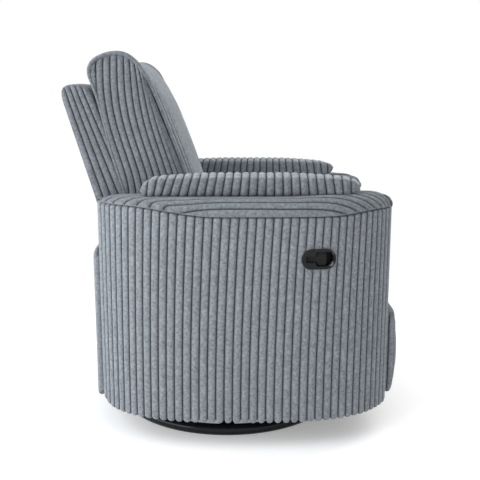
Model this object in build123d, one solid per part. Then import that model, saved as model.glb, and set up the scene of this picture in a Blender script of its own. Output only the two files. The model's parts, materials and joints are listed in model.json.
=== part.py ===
from build123d import *
import math
import os

# Swivel glider recliner with a barrel-shaped body, in millimetres.
# The origin is on the floor under the swivel axis, +X to the chair's front, +Y to its left, +Z up.

# Barrel body: two padded side covers with crowned arm tops.
BODY_LENGTH = 830.0
BODY_WIDTH = 784.0
BODY_FORWARD = 50.0  # barrel's centre ahead of the swivel axis
BODY_SQUARENESS = 3.0  # exponent of the plan outline: 2 is an ellipse, more is squarer
SKIRT_Z = 70.0
SEAM_Z = 598.0  # seam between a side cover and its arm top
ARM_TOP_Z = 634.0
ARM_ROUND_SIDE = 48.0  # how far the arm top's crown runs in from the side
ARM_ROUND_END = 72.0  # and from the front and rear ends
COVER_WALL = 24.0
COVER_EDGE = 9.0  # rounding of a side cover's lower and upright edges
ARM_INNER = 244.0  # half the width between the arms
INNER_PANEL = 14.0  # padded inner face of an arm
INNER_PANEL_Z = 300.0
ARM_BOARD = 18.0  # plywood arm frame
ARM_BOARD_Z = 92.0
ARM_BOARD_CORNER = 60.0
PLAY = 0.3  # between upholstered pieces that touch

# Pillow pads on the arms.
PAD_REAR = -225.0
PAD_FRONT = 342.0
PAD_HEIGHT = 56.0
PAD_WIDTH = 80.0
PAD_TAPER = 26.0  # how much lower the drawn-in ends are
PAD_SHOULDER = 4.0  # how far a pad's shoulders lean in
PAD_BULGE = 3.0  # outward bow of its outer side
PAD_INNER_BULGE = 0.2

# Rear panel that closes the barrel between the side covers.
REAR_PANEL_WALL = 18.0
REAR_PANEL_PROUD = 6.0
REAR_PANEL_TOP = 468.0

# Ring base.
RING_RADIUS = 317.0
RING_TUBE = 30.0
RING_FLAT = 2.0  # depth of the flat on the ring's underside
BAR_WIDTH = 40.0
BAR_HEIGHT = 20.0
BAR_WALL = 2.5
BAR_Z = 4.0
WELD = 0.2

# Swivel bearing.
SWIVEL_RADIUS = 130.0
SWIVEL_PLATE = 4.0
SLIDE_RADIUS = 100.0
SLIDE_WIDTH = 22.0
SLIDE_HEIGHT = 6.0
KING_PIN = 20.0
KING_PIN_HEAD = 36.0
KING_PIN_HEAD_HEIGHT = 6.0
BOLT = 8.0
BOLT_HEAD = 13.0
BOLT_HEAD_HEIGHT = 5.5
BASE_BOLT_RADIUS = 118.0

# Glider: the carriage hangs on two pairs of links, so it swings level.
GLIDE_LINK = 120.0
GLIDE_LINK_WIDTH = 28.0
GLIDE_LINK_PLATE = 6.0
GLIDE_SPAN = 300.0  # between the front and rear links
GLIDE_SIDE = 180.0  # inner faces of the glider's side plates, from the centre
GLIDE_PIVOT_Z = 190.0
GLIDE_SIDE_HEIGHT = 40.0
GLIDE_EAR = 40.0
GLIDE_PLATE = 4.0
GLIDE_STEP = 4.0  # between neighbouring plates
CHANNEL_WIDTH = 40.0
CHANNEL_HEIGHT = 20.0
CHANNEL_WALL = 3.0
CHANNEL_SPAN = 180.0
PIN = 10.0
PIN_HEAD = 18.0
PIN_HEAD_HEIGHT = 3.0
PIN_PLAY = 0.05  # radial play of a turning pin
PIN_SEAT = 0.02  # radial play of a fixed pin
FACE_PLAY = 0.4  # side play of a turning plate

# Carriage that carries the body.
HANGER_TOP_Z = 236.0
HANGER_LENGTH = 400.0
HANGER_STEP = 9.0  # between a link and its hanger
RUNNER_WIDTH = 32.0
RUNNER_HEIGHT = 40.0
RUNNER_REAR_SPACE = 140.0  # from the barrel's rear to the runners
RUNNER_FRONT_SPACE = 221.0
STRETCHER = 22.0

# Mechanism plates and the back's hinge.
MECH_PLATE = 4.0
MECH_INSET = 4.0  # plate's inner face from the runner's
MECH_DROP_PLAY = 2.0  # between the plate's drop and the front stretcher
MECH_Z = 54.0  # height of a mechanism plate above its runner
MECH_REAR = -178.0
MECH_FRONT_SPACE = 121.0  # from the barrel's front to the mechanism plates
BACK_PIVOT_X = -140.0
BACK_PIVOT_Z = 540.0
BACK_EAR = 48.0
BACK_BOSS = 28.0
BACK_PIN = 14.0
BACK_PIN_HEAD = 22.0
BACK_STEP = 1.0  # between a hinge ear and its bracket
BACK_ARM = 50.0  # how far a bracket runs up and down its upright from the pivot's height
HINGE_ROOM = 10.0  # round the hinge, in the upholstery beside it

# Back.
BACK_LEAN = 16.6  # degrees from upright
BACK_REAR_X = -346.0  # outside face at the height of the arm tops
BACK_BOTTOM_Z = 462.0
BACK_TOP_Z = 910.0
BACK_PAD = 50.0
BACK_PAD_HALF = 232.0
BACK_PAD_ROUND = 28.0
BACK_FRAME = 30.0
BACK_UPRIGHT = 31.0
BACK_RAIL = 60.0
BACK_CUSHION_HALF = 238.0
BACK_CUSHION_BOTTOM_Z = 497.0
BACK_CUSHION_RISE = 72.0  # cushion's top above the frame's
BACK_CUSHION_FOOT = 186.0  # depth of the cushion along its lower edge
BACK_CUSHION_HEAD = 150.0  # depth of the cushion near its top
BACK_CROWN = 26.0
BACK_OVERHANG = 13.0  # how far the cushion's head leans back over the frame
BACK_EAR_RISE = 5.0  # how much the drawn-out top corners stand up
BACK_DRAW = 14.0  # how much the cushion thins to each side
CUSHION_PLAY = 1.2  # between a crowned cushion and what carries it

# Seat.
SEAT_REAR = -95.0
SEAT_FRONT_SPACE = 33.0  # from the barrel's front to the seat cushion
SEAT_TOP_Z = 486.0
SEAT_CROWN = 7.0
SEAT_HALF = 238.0
SEAT_DRAW = 12.0
SEAT_RAIL_WIDTH = 26.0
SEAT_RAIL_HEIGHT = 36.0
SPRING_WIRE = 4.0
SPRING_PITCH = 44.0
SPRING_SWING = 24.0
SEAT_SPRING_COUNT = 5
BACK_SPRING_COUNT = 4
APRON = 26.0
APRON_HEIGHT = 44.0

# Footrest: two links a side fold between the pivot and the board.
FOOT_PIVOT_SPACE = 163.0  # from the barrel's front to the pivot
FOOT_PIVOT_Z = 258.0
FOOT_LINK = 200.0
FOOT_LINK_WIDTH = 26.0
FOOT_LINK_PLATE = 4.0
FOOT_STEP = 2.0
FOOT_SHUT = 88.0  # from the pivot to the board's hinge when shut
FOOT_RISE = 15.0  # degrees, slope of the line that the board's hinge runs along
FOOT_TUBE = 22.0
FOOT_TUBE_WALL = 2.5
FOOT_BRACKET_Y = 190.0
FOOT_BOARD = 14.0
FOOT_BOARD_SPACE = 53.0  # from the barrel's front to the board's rear face
FOOT_BOARD_HALF = 230.0
FOOT_Z = 92.0
FOOT_TOP_Z = 318.0
FOOT_PAD = 22.0
FOOT_CROWN = 10.0
FOOT_PAD_HALF = 238.0

# Release latch on the chair's right side.
LATCH_X = 226.0
LATCH_Z = 490.0
LATCH_LENGTH = 86.0
LATCH_HEIGHT = 50.0
LATCH_FLANGE = 4.0
LATCH_BODY_INSET = 5.0
LATCH_DEPTH = 26.0
LATCH_FLOOR = 3.0
POCKET_REAR = -8.0
POCKET_FRONT = 37.0
POCKET_HEIGHT = 36.0
POCKET_CORNER = 7.0
STEM_SLOT_REAR = -32.0
STEM_SLOT_HEIGHT = 16.0
LEVER_PLAY = 1.0
LEVER_PLATE = 6.0
PADDLE_LENGTH = 23.0
PADDLE_ROOM = 4.5  # behind the paddle, for its swing
LATCH_PIN = 4.0
LATCH_HOLE_PLAY = 0.5

# Places that follow from the sizes.
HALF_WIDTH = BODY_WIDTH / 2
RING_CENTRE = RING_RADIUS - RING_TUBE / 2
RING_Z = RING_TUBE / 2 - RING_FLAT
BAR_TOP = BAR_Z + BAR_HEIGHT
SLIDE_Z = BAR_TOP + SWIVEL_PLATE
UPPER_PLATE_Z = SLIDE_Z + SLIDE_HEIGHT + FACE_PLAY
SWIVEL_TOP = UPPER_PLATE_Z + SWIVEL_PLATE
LINK_Y = GLIDE_SIDE + GLIDE_PLATE + GLIDE_STEP
HANGER_Y = LINK_Y + GLIDE_LINK_PLATE + HANGER_STEP
GLIDE_LOW_Z = GLIDE_PIVOT_Z - GLIDE_LINK
BOARD_Y = ARM_INNER + INNER_PANEL
RUNNER_Y = BOARD_Y - RUNNER_WIDTH
RUNNER_TOP = HANGER_TOP_Z + RUNNER_HEIGHT
MECH_Y = RUNNER_Y + MECH_INSET
RUNNER_REAR = BODY_FORWARD - BODY_LENGTH / 2 + RUNNER_REAR_SPACE
BODY_FRONT = BODY_FORWARD + BODY_LENGTH / 2
RUNNER_FRONT = BODY_FRONT - RUNNER_FRONT_SPACE
MECH_FRONT = BODY_FRONT - MECH_FRONT_SPACE
SEAT_FRONT = BODY_FRONT - SEAT_FRONT_SPACE
FOOT_PIVOT_X = BODY_FRONT - FOOT_PIVOT_SPACE
FOOT_BOARD_X = BODY_FRONT - FOOT_BOARD_SPACE
EAR_Y = MECH_Y - MECH_PLATE
BRACKET_Y = EAR_Y - BACK_STEP - MECH_PLATE
FOOT_REAR_Y = MECH_Y - FOOT_STEP - FOOT_LINK_PLATE
FOOT_FRONT_Y = FOOT_REAR_Y - FOOT_STEP - FOOT_LINK_PLATE
FOLD = math.degrees(math.acos(FOOT_SHUT / (2 * FOOT_LINK)))
SEAT_RAIL_Y = FOOT_FRONT_Y - FOOT_STEP
MECH_TOP = RUNNER_TOP + MECH_Z
SEAT_RAIL_Z = MECH_TOP
SEAT_RAIL_TOP = SEAT_RAIL_Z + SEAT_RAIL_HEIGHT
SPRING_Z = SEAT_RAIL_TOP
SEAT_BOTTOM = SPRING_Z + SPRING_WIRE + CUSHION_PLAY
LEAN = math.tan(math.radians(BACK_LEAN))


def export(name, *solids):
    """Write one node: a single solid, or like pieces as a group of separate solids."""
    shape = solids[0] if len(solids) == 1 else Compound(children=list(solids))
    export_step(shape, f"parts/{name}.step")


def mirrored(shape):
    """The same piece on the chair's other side."""
    return mirror(shape, about=Plane.XZ)


def pair(shape):
    return shape, mirrored(shape)


def plate(face, y_low, y_high):
    """A plate standing fore and aft: a face drawn in X and Z, as thick as a span of Y."""
    return extrude(Plane.XZ.offset(-y_high) * face, amount=y_high - y_low)


def turned(x, z, *steps):
    """A piece turned about an axis along Y, from steps of low Y, high Y and diameter."""
    piece = None
    for y_low, y_high, diameter in steps:
        rod = Pos(x, (y_low + y_high) / 2, z) * Rot(90, 0, 0) * Cylinder(diameter / 2, y_high - y_low)
        piece = rod if piece is None else piece + rod
    return piece


def block(x_low, x_high, y_low, y_high, z_low, z_high):
    size = (x_high - x_low, y_high - y_low, z_high - z_low)
    return Pos((x_low + x_high) / 2, (y_low + y_high) / 2, (z_low + z_high) / 2) * Box(*size)


def link_face(start, end, width):
    """A bar with round ends, drawn in X and Z between two pivots."""
    run = math.hypot(end[0] - start[0], end[1] - start[1])
    turn = math.degrees(math.atan2(end[1] - start[1], end[0] - start[0]))
    middle = Pos((start[0] + end[0]) / 2, (start[1] + end[1]) / 2)
    return middle * Rot(0, 0, turn) * SlotCenterToCenter(run, width)


def hole(point, diameter):
    return Pos(*point) * Circle(diameter / 2)


def plan_reach(y, inset=0.0):
    """How far the barrel's outline, drawn in by an inset, reaches fore and aft of its centre at a given Y."""
    part_width = abs(y) / (HALF_WIDTH - inset)
    return (BODY_LENGTH / 2 - inset) * (1 - part_width**BODY_SQUARENESS) ** (1 / BODY_SQUARENESS)


def plan_curve(y_end, inset_x, inset_y, steps=10):
    """The barrel's outline on the left side, from the front to the rear where it meets a given Y."""
    half_x = BODY_LENGTH / 2 - inset_x
    half_y = HALF_WIDTH - inset_y
    start = math.asin((y_end / half_y) ** (BODY_SQUARENESS / 2))
    points = []
    for step in range(steps + 1):
        angle = start + (math.pi - 2 * start) * step / steps
        along = math.copysign(abs(math.cos(angle)) ** (2 / BODY_SQUARENESS), math.cos(angle))
        points.append((BODY_FORWARD + half_x * along, half_y * math.sin(angle) ** (2 / BODY_SQUARENESS)))
    return Spline(*points)


def base_ring():
    return split(Pos(0, 0, RING_Z) * Torus(RING_CENTRE, RING_TUBE / 2), bisect_by=Plane.XY, keep=Keep.TOP)


def base_bars():
    """A bar right across and two half bars, cut to the ring's tube."""
    section = Rectangle(BAR_WIDTH, BAR_HEIGHT)
    section -= Rectangle(BAR_WIDTH - 2 * BAR_WALL, BAR_HEIGHT - 2 * BAR_WALL)
    socket = Pos(0, 0, RING_Z) * Torus(RING_CENTRE, RING_TUBE / 2 + WELD)
    raised = Pos(0, 0, BAR_Z + BAR_HEIGHT / 2)
    through = raised * extrude(Plane.YZ * section, amount=RING_CENTRE, both=True) - socket
    start = BAR_WIDTH / 2 + WELD
    half = raised * extrude(Plane.XZ.offset(start) * section, amount=RING_CENTRE - start) - socket
    return through, half, mirrored(half)


def slide_ring():
    """Plastic ring that the upper plate turns on."""
    ring = Cylinder(SLIDE_RADIUS + SLIDE_WIDTH / 2, SLIDE_HEIGHT)
    ring -= Cylinder(SLIDE_RADIUS - SLIDE_WIDTH / 2, SLIDE_HEIGHT)
    return Pos(0, 0, SLIDE_Z + SLIDE_HEIGHT / 2) * ring


def bolt_places(radius):
    """Where the base bolts pass, over the four bars."""
    turns = (0, math.pi / 2, math.pi, -math.pi / 2)
    return [Pos(radius * math.cos(turn), radius * math.sin(turn)) for turn in turns]


def swivel_lower_plate():
    disc = Pos(0, 0, BAR_TOP + SWIVEL_PLATE / 2) * Cylinder(SWIVEL_RADIUS, SWIVEL_PLATE)
    for place in bolt_places(BASE_BOLT_RADIUS):
        disc -= place * Pos(0, 0, BAR_TOP) * Cylinder(BOLT / 2 + PIN_SEAT, 4 * SWIVEL_PLATE)
    return disc


def swivel_upper_plate():
    disc = Pos(0, 0, UPPER_PLATE_Z + SWIVEL_PLATE / 2) * Cylinder(SWIVEL_RADIUS, SWIVEL_PLATE)
    return disc - Pos(0, 0, UPPER_PLATE_Z) * Cylinder(KING_PIN / 2 + PIN_PLAY, 4 * SWIVEL_PLATE)


def king_pin():
    """Pin that stands on the lower plate and keeps the upper one from lifting."""
    head_z = SWIVEL_TOP + FACE_PLAY
    shaft = Pos(0, 0, (SLIDE_Z + head_z) / 2) * Cylinder(KING_PIN / 2, head_z - SLIDE_Z)
    head = Cylinder(KING_PIN_HEAD / 2, KING_PIN_HEAD_HEIGHT)
    return shaft + Pos(0, 0, head_z + KING_PIN_HEAD_HEIGHT / 2) * head


def base_bolts():
    head = extrude(RegularPolygon(BOLT_HEAD / 2, 6), amount=BOLT_HEAD_HEIGHT)
    shank = Pos(0, 0, -SWIVEL_PLATE / 2) * Cylinder(BOLT / 2, SWIVEL_PLATE)
    return [place * Pos(0, 0, SLIDE_Z) * (head + shank) for place in bolt_places(BASE_BOLT_RADIUS)]


def glide_pivots(z):
    return [(side * GLIDE_SPAN / 2, z) for side in (1, -1)]


def glider_side():
    """Side plate of the swivelling frame, with an upright ear for each link."""
    length = GLIDE_SPAN + GLIDE_EAR
    face = Pos(0, SWIVEL_TOP + GLIDE_SIDE_HEIGHT / 2) * Rectangle(length, GLIDE_SIDE_HEIGHT)
    for x, z in glide_pivots(GLIDE_PIVOT_Z):
        face += link_face((x, SWIVEL_TOP + GLIDE_EAR / 2), (x, z), GLIDE_EAR)
    face = fillet(face.vertices().filter_by(lambda corner: abs(corner.X) < length / 2 - 1), GLIDE_EAR / 4)
    for point in glide_pivots(GLIDE_PIVOT_Z):
        face -= hole(point, PIN + 2 * PIN_SEAT)
    return plate(face, GLIDE_SIDE, GLIDE_SIDE + GLIDE_PLATE)


def glider_channels():
    """Two folded channels that carry the side plates on the swivel."""
    outer = Pos(0, CHANNEL_HEIGHT / 2) * Rectangle(CHANNEL_WIDTH, CHANNEL_HEIGHT)
    inner = Rectangle(CHANNEL_WIDTH - 2 * CHANNEL_WALL, CHANNEL_HEIGHT)
    inner = Pos(0, CHANNEL_HEIGHT / 2 + CHANNEL_WALL) * inner
    channel = plate(Pos(0, SWIVEL_TOP) * (outer - inner), -GLIDE_SIDE, GLIDE_SIDE)
    return [Pos(side * CHANNEL_SPAN / 2, 0, 0) * channel for side in (1, -1)]


def glide_links(x):
    face = link_face((x, GLIDE_PIVOT_Z), (x, GLIDE_LOW_Z), GLIDE_LINK_WIDTH)
    face -= hole((x, GLIDE_PIVOT_Z), PIN + 2 * PIN_PLAY)
    face -= hole((x, GLIDE_LOW_Z), PIN + 2 * PIN_PLAY)
    return pair(plate(face, LINK_Y, LINK_Y + GLIDE_LINK_PLATE))


def upper_pins():
    """Pins through the ears, each with a collar and a head to keep its link."""
    ear_end = GLIDE_SIDE + GLIDE_PLATE
    link_end = LINK_Y + GLIDE_LINK_PLATE + FACE_PLAY
    pins = []
    for x, z in glide_pivots(GLIDE_PIVOT_Z):
        steps = [
            (GLIDE_SIDE - PIN_HEAD_HEIGHT, GLIDE_SIDE, PIN_HEAD),
            (GLIDE_SIDE, link_end, PIN),
            (ear_end, LINK_Y - FACE_PLAY, PIN_HEAD),
            (link_end, link_end + PIN_HEAD_HEIGHT, PIN_HEAD),
        ]
        pins += pair(turned(x, z, *steps))
    return pins


def lower_pins():
    """Pins through the hangers, on which the carriage hangs in its links."""
    link_start = LINK_Y - FACE_PLAY
    link_end = LINK_Y + GLIDE_LINK_PLATE + FACE_PLAY
    hanger_end = HANGER_Y + GLIDE_PLATE
    pins = []
    for x, z in glide_pivots(GLIDE_LOW_Z):
        steps = [
            (link_start - PIN_HEAD_HEIGHT, link_start, PIN_HEAD),
            (link_start, hanger_end, PIN),
            (link_end, HANGER_Y, PIN_HEAD),
            (hanger_end, hanger_end + PIN_HEAD_HEIGHT, PIN_HEAD),
        ]
        pins += pair(turned(x, z, *steps))
    return pins


def hanger():
    """Plate that hangs on the lower pins, folded outward at the top to carry the runner."""
    foot = GLIDE_LINK_WIDTH
    half = HANGER_LENGTH / 2
    foot_z = GLIDE_LOW_Z - foot / 2
    face = Pos(0, (foot_z + HANGER_TOP_Z) / 2) * Rectangle(HANGER_LENGTH, HANGER_TOP_Z - foot_z)
    face = fillet(face.vertices().group_by(Axis.Y)[0], foot / 2)
    for point in glide_pivots(GLIDE_LOW_Z):
        face -= hole(point, PIN + 2 * PIN_SEAT)
    web = plate(face, HANGER_Y, HANGER_Y + GLIDE_PLATE)
    return web + block(-half, half, HANGER_Y, BOARD_Y, HANGER_TOP_Z - GLIDE_PLATE, HANGER_TOP_Z)


def runner():
    return block(RUNNER_REAR, RUNNER_FRONT, RUNNER_Y, BOARD_Y, HANGER_TOP_Z, RUNNER_TOP)


def stretcher(x_low):
    return block(x_low, x_low + STRETCHER, -BOARD_Y, BOARD_Y, HANGER_TOP_Z, RUNNER_TOP)


def arm_board():
    """Plywood frame inside an arm, as long as the cover leaves room for."""
    reach = plan_reach(BOARD_Y + ARM_BOARD, COVER_WALL) - PLAY
    face = Pos(BODY_FORWARD, (ARM_BOARD_Z + SEAM_Z) / 2) * Rectangle(2 * reach, SEAM_Z - ARM_BOARD_Z)
    face = fillet(face.vertices().group_by(Axis.Y)[0], ARM_BOARD_CORNER)
    return plate(face, BOARD_Y, BOARD_Y + ARM_BOARD)


def inner_panel():
    reach = plan_reach(BOARD_Y, COVER_WALL) - PLAY
    return block(BODY_FORWARD - reach, BODY_FORWARD + reach, ARM_INNER, BOARD_Y, INNER_PANEL_Z, SEAM_Z)


def side_cover():
    """Padded cover round an arm's outside, from its front edge to its rear edge."""
    outer = plan_curve(ARM_INNER, 0.0, 0.0)
    inner = plan_curve(ARM_INNER, COVER_WALL, COVER_WALL)
    face = make_face([outer, inner, Line(outer @ 0, inner @ 0), Line(outer @ 1, inner @ 1)])
    cover = extrude(Pos(0, 0, SKIRT_Z) * face, amount=SEAM_Z - SKIRT_Z)
    return fillet(cover.edges().group_by(Axis.Z)[0], COVER_EDGE)


def arm_top(levels=4):
    """Crowned top of an arm: the barrel's outline drawn in along a quarter of an ellipse."""
    sections = []
    for level in range(levels + 1):
        turn = math.pi / 2 * level / levels
        draw = 1 - math.cos(turn)
        z = SEAM_Z + (ARM_TOP_Z - SEAM_Z) * math.sin(turn)
        curve = plan_curve(ARM_INNER, ARM_ROUND_END * draw, ARM_ROUND_SIDE * draw)
        sections.append(Pos(0, 0, z) * make_face([curve, Line(curve @ 1, curve @ 0)]))
    return loft(sections)


def arm_pad():
    """Pillow along an arm: D-shaped sections that drop and narrow to both ends."""
    length = PAD_FRONT - PAD_REAR
    base = ARM_TOP_Z + PLAY
    inner = ARM_INNER + PLAY
    sections = []
    stations = ((0.0, 0.0), (0.05, 0.62), (0.2, 0.96), (0.5, 1.0), (0.8, 0.98), (0.95, 0.66), (1.0, 0.0))
    for share, fullness in stations:
        narrow = PAD_TAPER / 2 * (1 - fullness)
        height = PAD_HEIGHT - PAD_TAPER * (1 - fullness)
        left = inner + narrow
        right = inner + PAD_WIDTH - narrow
        shoulder = base + height * 0.72
        middle = (base + shoulder) / 2
        outline = [
            Line((left, base), (right, base)),
            ThreePointArc((right, base), (right + PAD_BULGE, middle), (right - PAD_SHOULDER, shoulder)),
            ThreePointArc(
                (right - PAD_SHOULDER, shoulder),
                ((left + right) / 2, base + height),
                (left + PAD_SHOULDER, shoulder),
            ),
            ThreePointArc((left + PAD_SHOULDER, shoulder), (left - PAD_INNER_BULGE, middle), (left, base)),
        ]
        place = Plane((PAD_REAR + length * share, 0, 0), x_dir=(0, 1, 0), z_dir=(1, 0, 0))
        sections.append(place * make_face(outline))
    return loft(sections)


def rear_panel():
    """Padded panel between the rear edges of the covers, bowed as the barrel is."""
    half = ARM_INNER - PLAY
    bow = plan_reach(0) - plan_reach(half)
    edge_x = BODY_FORWARD - plan_reach(half) - REAR_PANEL_PROUD
    outer = ThreePointArc((edge_x, half), (edge_x - bow, 0), (edge_x, -half))
    inner_x = edge_x + REAR_PANEL_WALL
    inner = ThreePointArc((inner_x, half), (inner_x - bow, 0), (inner_x, -half))
    face = make_face([outer, inner, Line(outer @ 0, inner @ 0), Line(outer @ 1, inner @ 1)])
    panel = extrude(Pos(0, 0, SKIRT_Z) * face, amount=REAR_PANEL_TOP - SKIRT_Z)
    rim = panel.edges().group_by(Axis.Z)
    return fillet(rim[0] + rim[-1], REAR_PANEL_WALL / 3)


def foot_points():
    """Where the footrest's pivot, knee and board hinge stand when it is shut."""
    line = math.radians(FOOT_RISE)
    knee = line - math.radians(FOLD)
    pivot = (FOOT_PIVOT_X, FOOT_PIVOT_Z)
    knee_point = (FOOT_PIVOT_X + FOOT_LINK * math.cos(knee), FOOT_PIVOT_Z + FOOT_LINK * math.sin(knee))
    hinge = (FOOT_PIVOT_X + FOOT_SHUT * math.cos(line), FOOT_PIVOT_Z + FOOT_SHUT * math.sin(line))
    return pivot, knee_point, hinge


def mech_plate():
    """Steel plate on a runner, its foot folded outward and its seat ledge inward, with a front drop."""
    pivot = foot_points()[0]
    drop_x = RUNNER_FRONT + STRETCHER + MECH_DROP_PLAY
    low = FOOT_PIVOT_Z - FOOT_LINK_WIDTH
    corners = [
        (MECH_REAR, RUNNER_TOP),
        (drop_x, RUNNER_TOP),
        (drop_x, low),
        (MECH_FRONT, low),
        (MECH_FRONT, MECH_TOP),
        (MECH_REAR, MECH_TOP),
    ]
    face = make_face(Polyline(*corners, close=True))
    face = fillet(face.vertices().group_by(Axis.X)[-1], FOOT_LINK_WIDTH / 2)
    face -= hole(pivot, FOOT_TUBE + 2 * PIN_PLAY)
    foot = block(MECH_REAR, RUNNER_FRONT, MECH_Y, BOARD_Y, RUNNER_TOP, RUNNER_TOP + MECH_PLATE)
    ledge_rear = BACK_PIVOT_X + BACK_EAR / 2 + HINGE_ROOM
    ledge_inner = SEAT_RAIL_Y - SEAT_RAIL_WIDTH
    ledge_front = MECH_FRONT - FOOT_LINK_WIDTH
    ledge = block(ledge_rear, ledge_front, ledge_inner, MECH_Y, MECH_TOP - MECH_PLATE, MECH_TOP)
    return plate(face, MECH_Y, MECH_Y + MECH_PLATE) + foot + ledge


def back_ear():
    """Hinge ear that stands on a mechanism plate beside the back."""
    foot = (BACK_PIVOT_X, RUNNER_TOP + BACK_EAR / 2)
    pivot = (BACK_PIVOT_X, BACK_PIVOT_Z)
    face = link_face(foot, pivot, BACK_EAR) - hole(pivot, BACK_PIN + 2 * PIN_SEAT)
    return plate(face, EAR_Y, EAR_Y + MECH_PLATE)


def back_line(z, depth=0.0):
    """X of the back's outside face at a height, or of a face that lies deeper by a horizontal depth."""
    return BACK_REAR_X - (z - ARM_TOP_Z) * LEAN + depth


def back_slab(z_low, z_high, depth_low, depth_high):
    """Outline in X and Z of a slab that leans with the back."""
    corners = [
        (back_line(z_low, depth_low), z_low),
        (back_line(z_low, depth_high), z_low),
        (back_line(z_high, depth_high), z_high),
        (back_line(z_high, depth_low), z_high),
    ]
    return make_face(Polyline(*corners, close=True))


def back_pad():
    """Outside upholstery of the back: a tub that covers the frame's rear, top and sides."""
    over = BACK_PAD + BACK_FRAME
    face = back_slab(BACK_BOTTOM_Z, BACK_TOP_Z, 0.0, over)
    face = fillet(face.vertices().group_by(Axis.Y)[-1], BACK_PAD_ROUND)
    face = fillet(face.vertices().group_by(Axis.Y)[0].sort_by(Axis.X)[0], BACK_PAD_ROUND)
    pocket = back_slab(BACK_BOTTOM_Z - BACK_PAD, BACK_TOP_Z - BACK_PAD, BACK_PAD, over + BACK_PAD)
    pocket_half = BRACKET_Y + PLAY
    tub = plate(face, -BACK_PAD_HALF, BACK_PAD_HALF) - plate(pocket, -pocket_half, pocket_half)
    return tub - hinge_notch() - mirrored(hinge_notch())


def back_frame_slab(z_low, z_high):
    return back_slab(z_low, z_high, BACK_PAD + PLAY, BACK_PAD + BACK_FRAME)


def back_uprights():
    top = BACK_TOP_Z - BACK_PAD - PLAY
    outside = BRACKET_Y
    return pair(plate(back_frame_slab(BACK_BOTTOM_Z, top), outside - BACK_UPRIGHT, outside))


def back_rails():
    """Rails between the uprights, at the foot and the top."""
    half = BRACKET_Y - BACK_UPRIGHT
    top = BACK_TOP_Z - BACK_PAD - PLAY
    return [plate(back_frame_slab(z, z + BACK_RAIL), -half, half) for z in (BACK_BOTTOM_Z, top - BACK_RAIL)]


def back_springs():
    """Sinuous springs across the frame, from upright to upright."""
    half = BRACKET_Y - BACK_UPRIGHT
    low = BACK_BOTTOM_Z + BACK_RAIL
    pitch = (BACK_TOP_Z - BACK_PAD - BACK_RAIL - low) / BACK_SPRING_COUNT
    lean = math.radians(BACK_LEAN)
    springs = []
    for count in range(BACK_SPRING_COUNT):
        z = low + pitch * (count + 0.5)
        start = (back_line(z, BACK_PAD + BACK_FRAME / 2), -half, z)
        place = Plane(start, x_dir=(0, 1, 0), z_dir=(math.cos(lean), 0, math.sin(lean)))
        springs.append(extrude(place * zigzag(2 * half), amount=SPRING_WIRE))
    return springs


def upright_point(z):
    """Middle of an upright, in X and Z, at a height."""
    return back_line(z, BACK_PAD + BACK_FRAME / 2), z


def back_bracket():
    """T-shaped hinge bracket: along the outside of an upright, and forward to the pivot."""
    pivot = (BACK_PIVOT_X, BACK_PIVOT_Z)
    low = upright_point(BACK_PIVOT_Z - BACK_ARM)
    high = upright_point(BACK_PIVOT_Z + BACK_ARM)
    face = link_face(upright_point(BACK_PIVOT_Z), pivot, BACK_BOSS) + link_face(low, high, BACK_BOSS)
    face -= hole(pivot, BACK_PIN + 2 * PIN_PLAY)
    return plate(face, BRACKET_Y, BRACKET_Y + MECH_PLATE)


def hinge_notch():
    """Room that the back's upholstery leaves beside the hinge ear and bracket."""
    rear = back_line(BACK_BOTTOM_Z) - BACK_PAD
    front = BACK_PIVOT_X + BACK_EAR / 2 + HINGE_ROOM
    top = BACK_PIVOT_Z + BACK_ARM + BACK_BOSS / 2 + HINGE_ROOM
    inner = BRACKET_Y - 2 * PIN_HEAD_HEIGHT
    return block(rear, front, inner, ARM_INNER, BACK_BOTTOM_Z - BACK_PAD, top)


def back_pins():
    head = BACK_PIN_HEAD
    inner = BRACKET_Y - FACE_PLAY
    steps = [
        (inner - PIN_HEAD_HEIGHT, inner, head),
        (inner, EAR_Y + MECH_PLATE, BACK_PIN),
        (EAR_Y + MECH_PLATE, EAR_Y + MECH_PLATE + PIN_HEAD_HEIGHT, head),
    ]
    return pair(turned(BACK_PIVOT_X, BACK_PIVOT_Z, *steps))


def cushion_profile(draw, crown, rise):
    """Side view of the back cushion: flat on its frame, bowed in front, rolled over at the top."""
    seat = BACK_PAD + BACK_FRAME + CUSHION_PLAY
    low = BACK_CUSHION_BOTTOM_Z + draw / 2
    head = BACK_TOP_Z + BACK_CUSHION_RISE * 0.3
    top = BACK_TOP_Z + BACK_CUSHION_RISE + rise - draw
    rear_low = (back_line(low, seat + draw), low)
    front_low = (back_line(low, seat + BACK_CUSHION_FOOT - draw), low)
    front_head = (back_line(head, seat + BACK_CUSHION_HEAD - draw), head)
    rear_head = (back_line(head, seat + draw - BACK_OVERHANG), head)
    rear_neck = (back_line(BACK_TOP_Z, seat + draw), BACK_TOP_Z)
    front_middle = (front_low[0] + front_head[0]) / 2 + crown, (low + head) / 2 + crown * LEAN
    over = (rear_head[0] + front_head[0]) / 2, top
    return make_face([
        Line(rear_low, front_low),
        ThreePointArc(front_low, front_middle, front_head),
        ThreePointArc(front_head, over, rear_head),
        Line(rear_head, rear_neck),
        Line(rear_neck, rear_low),
    ])


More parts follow.
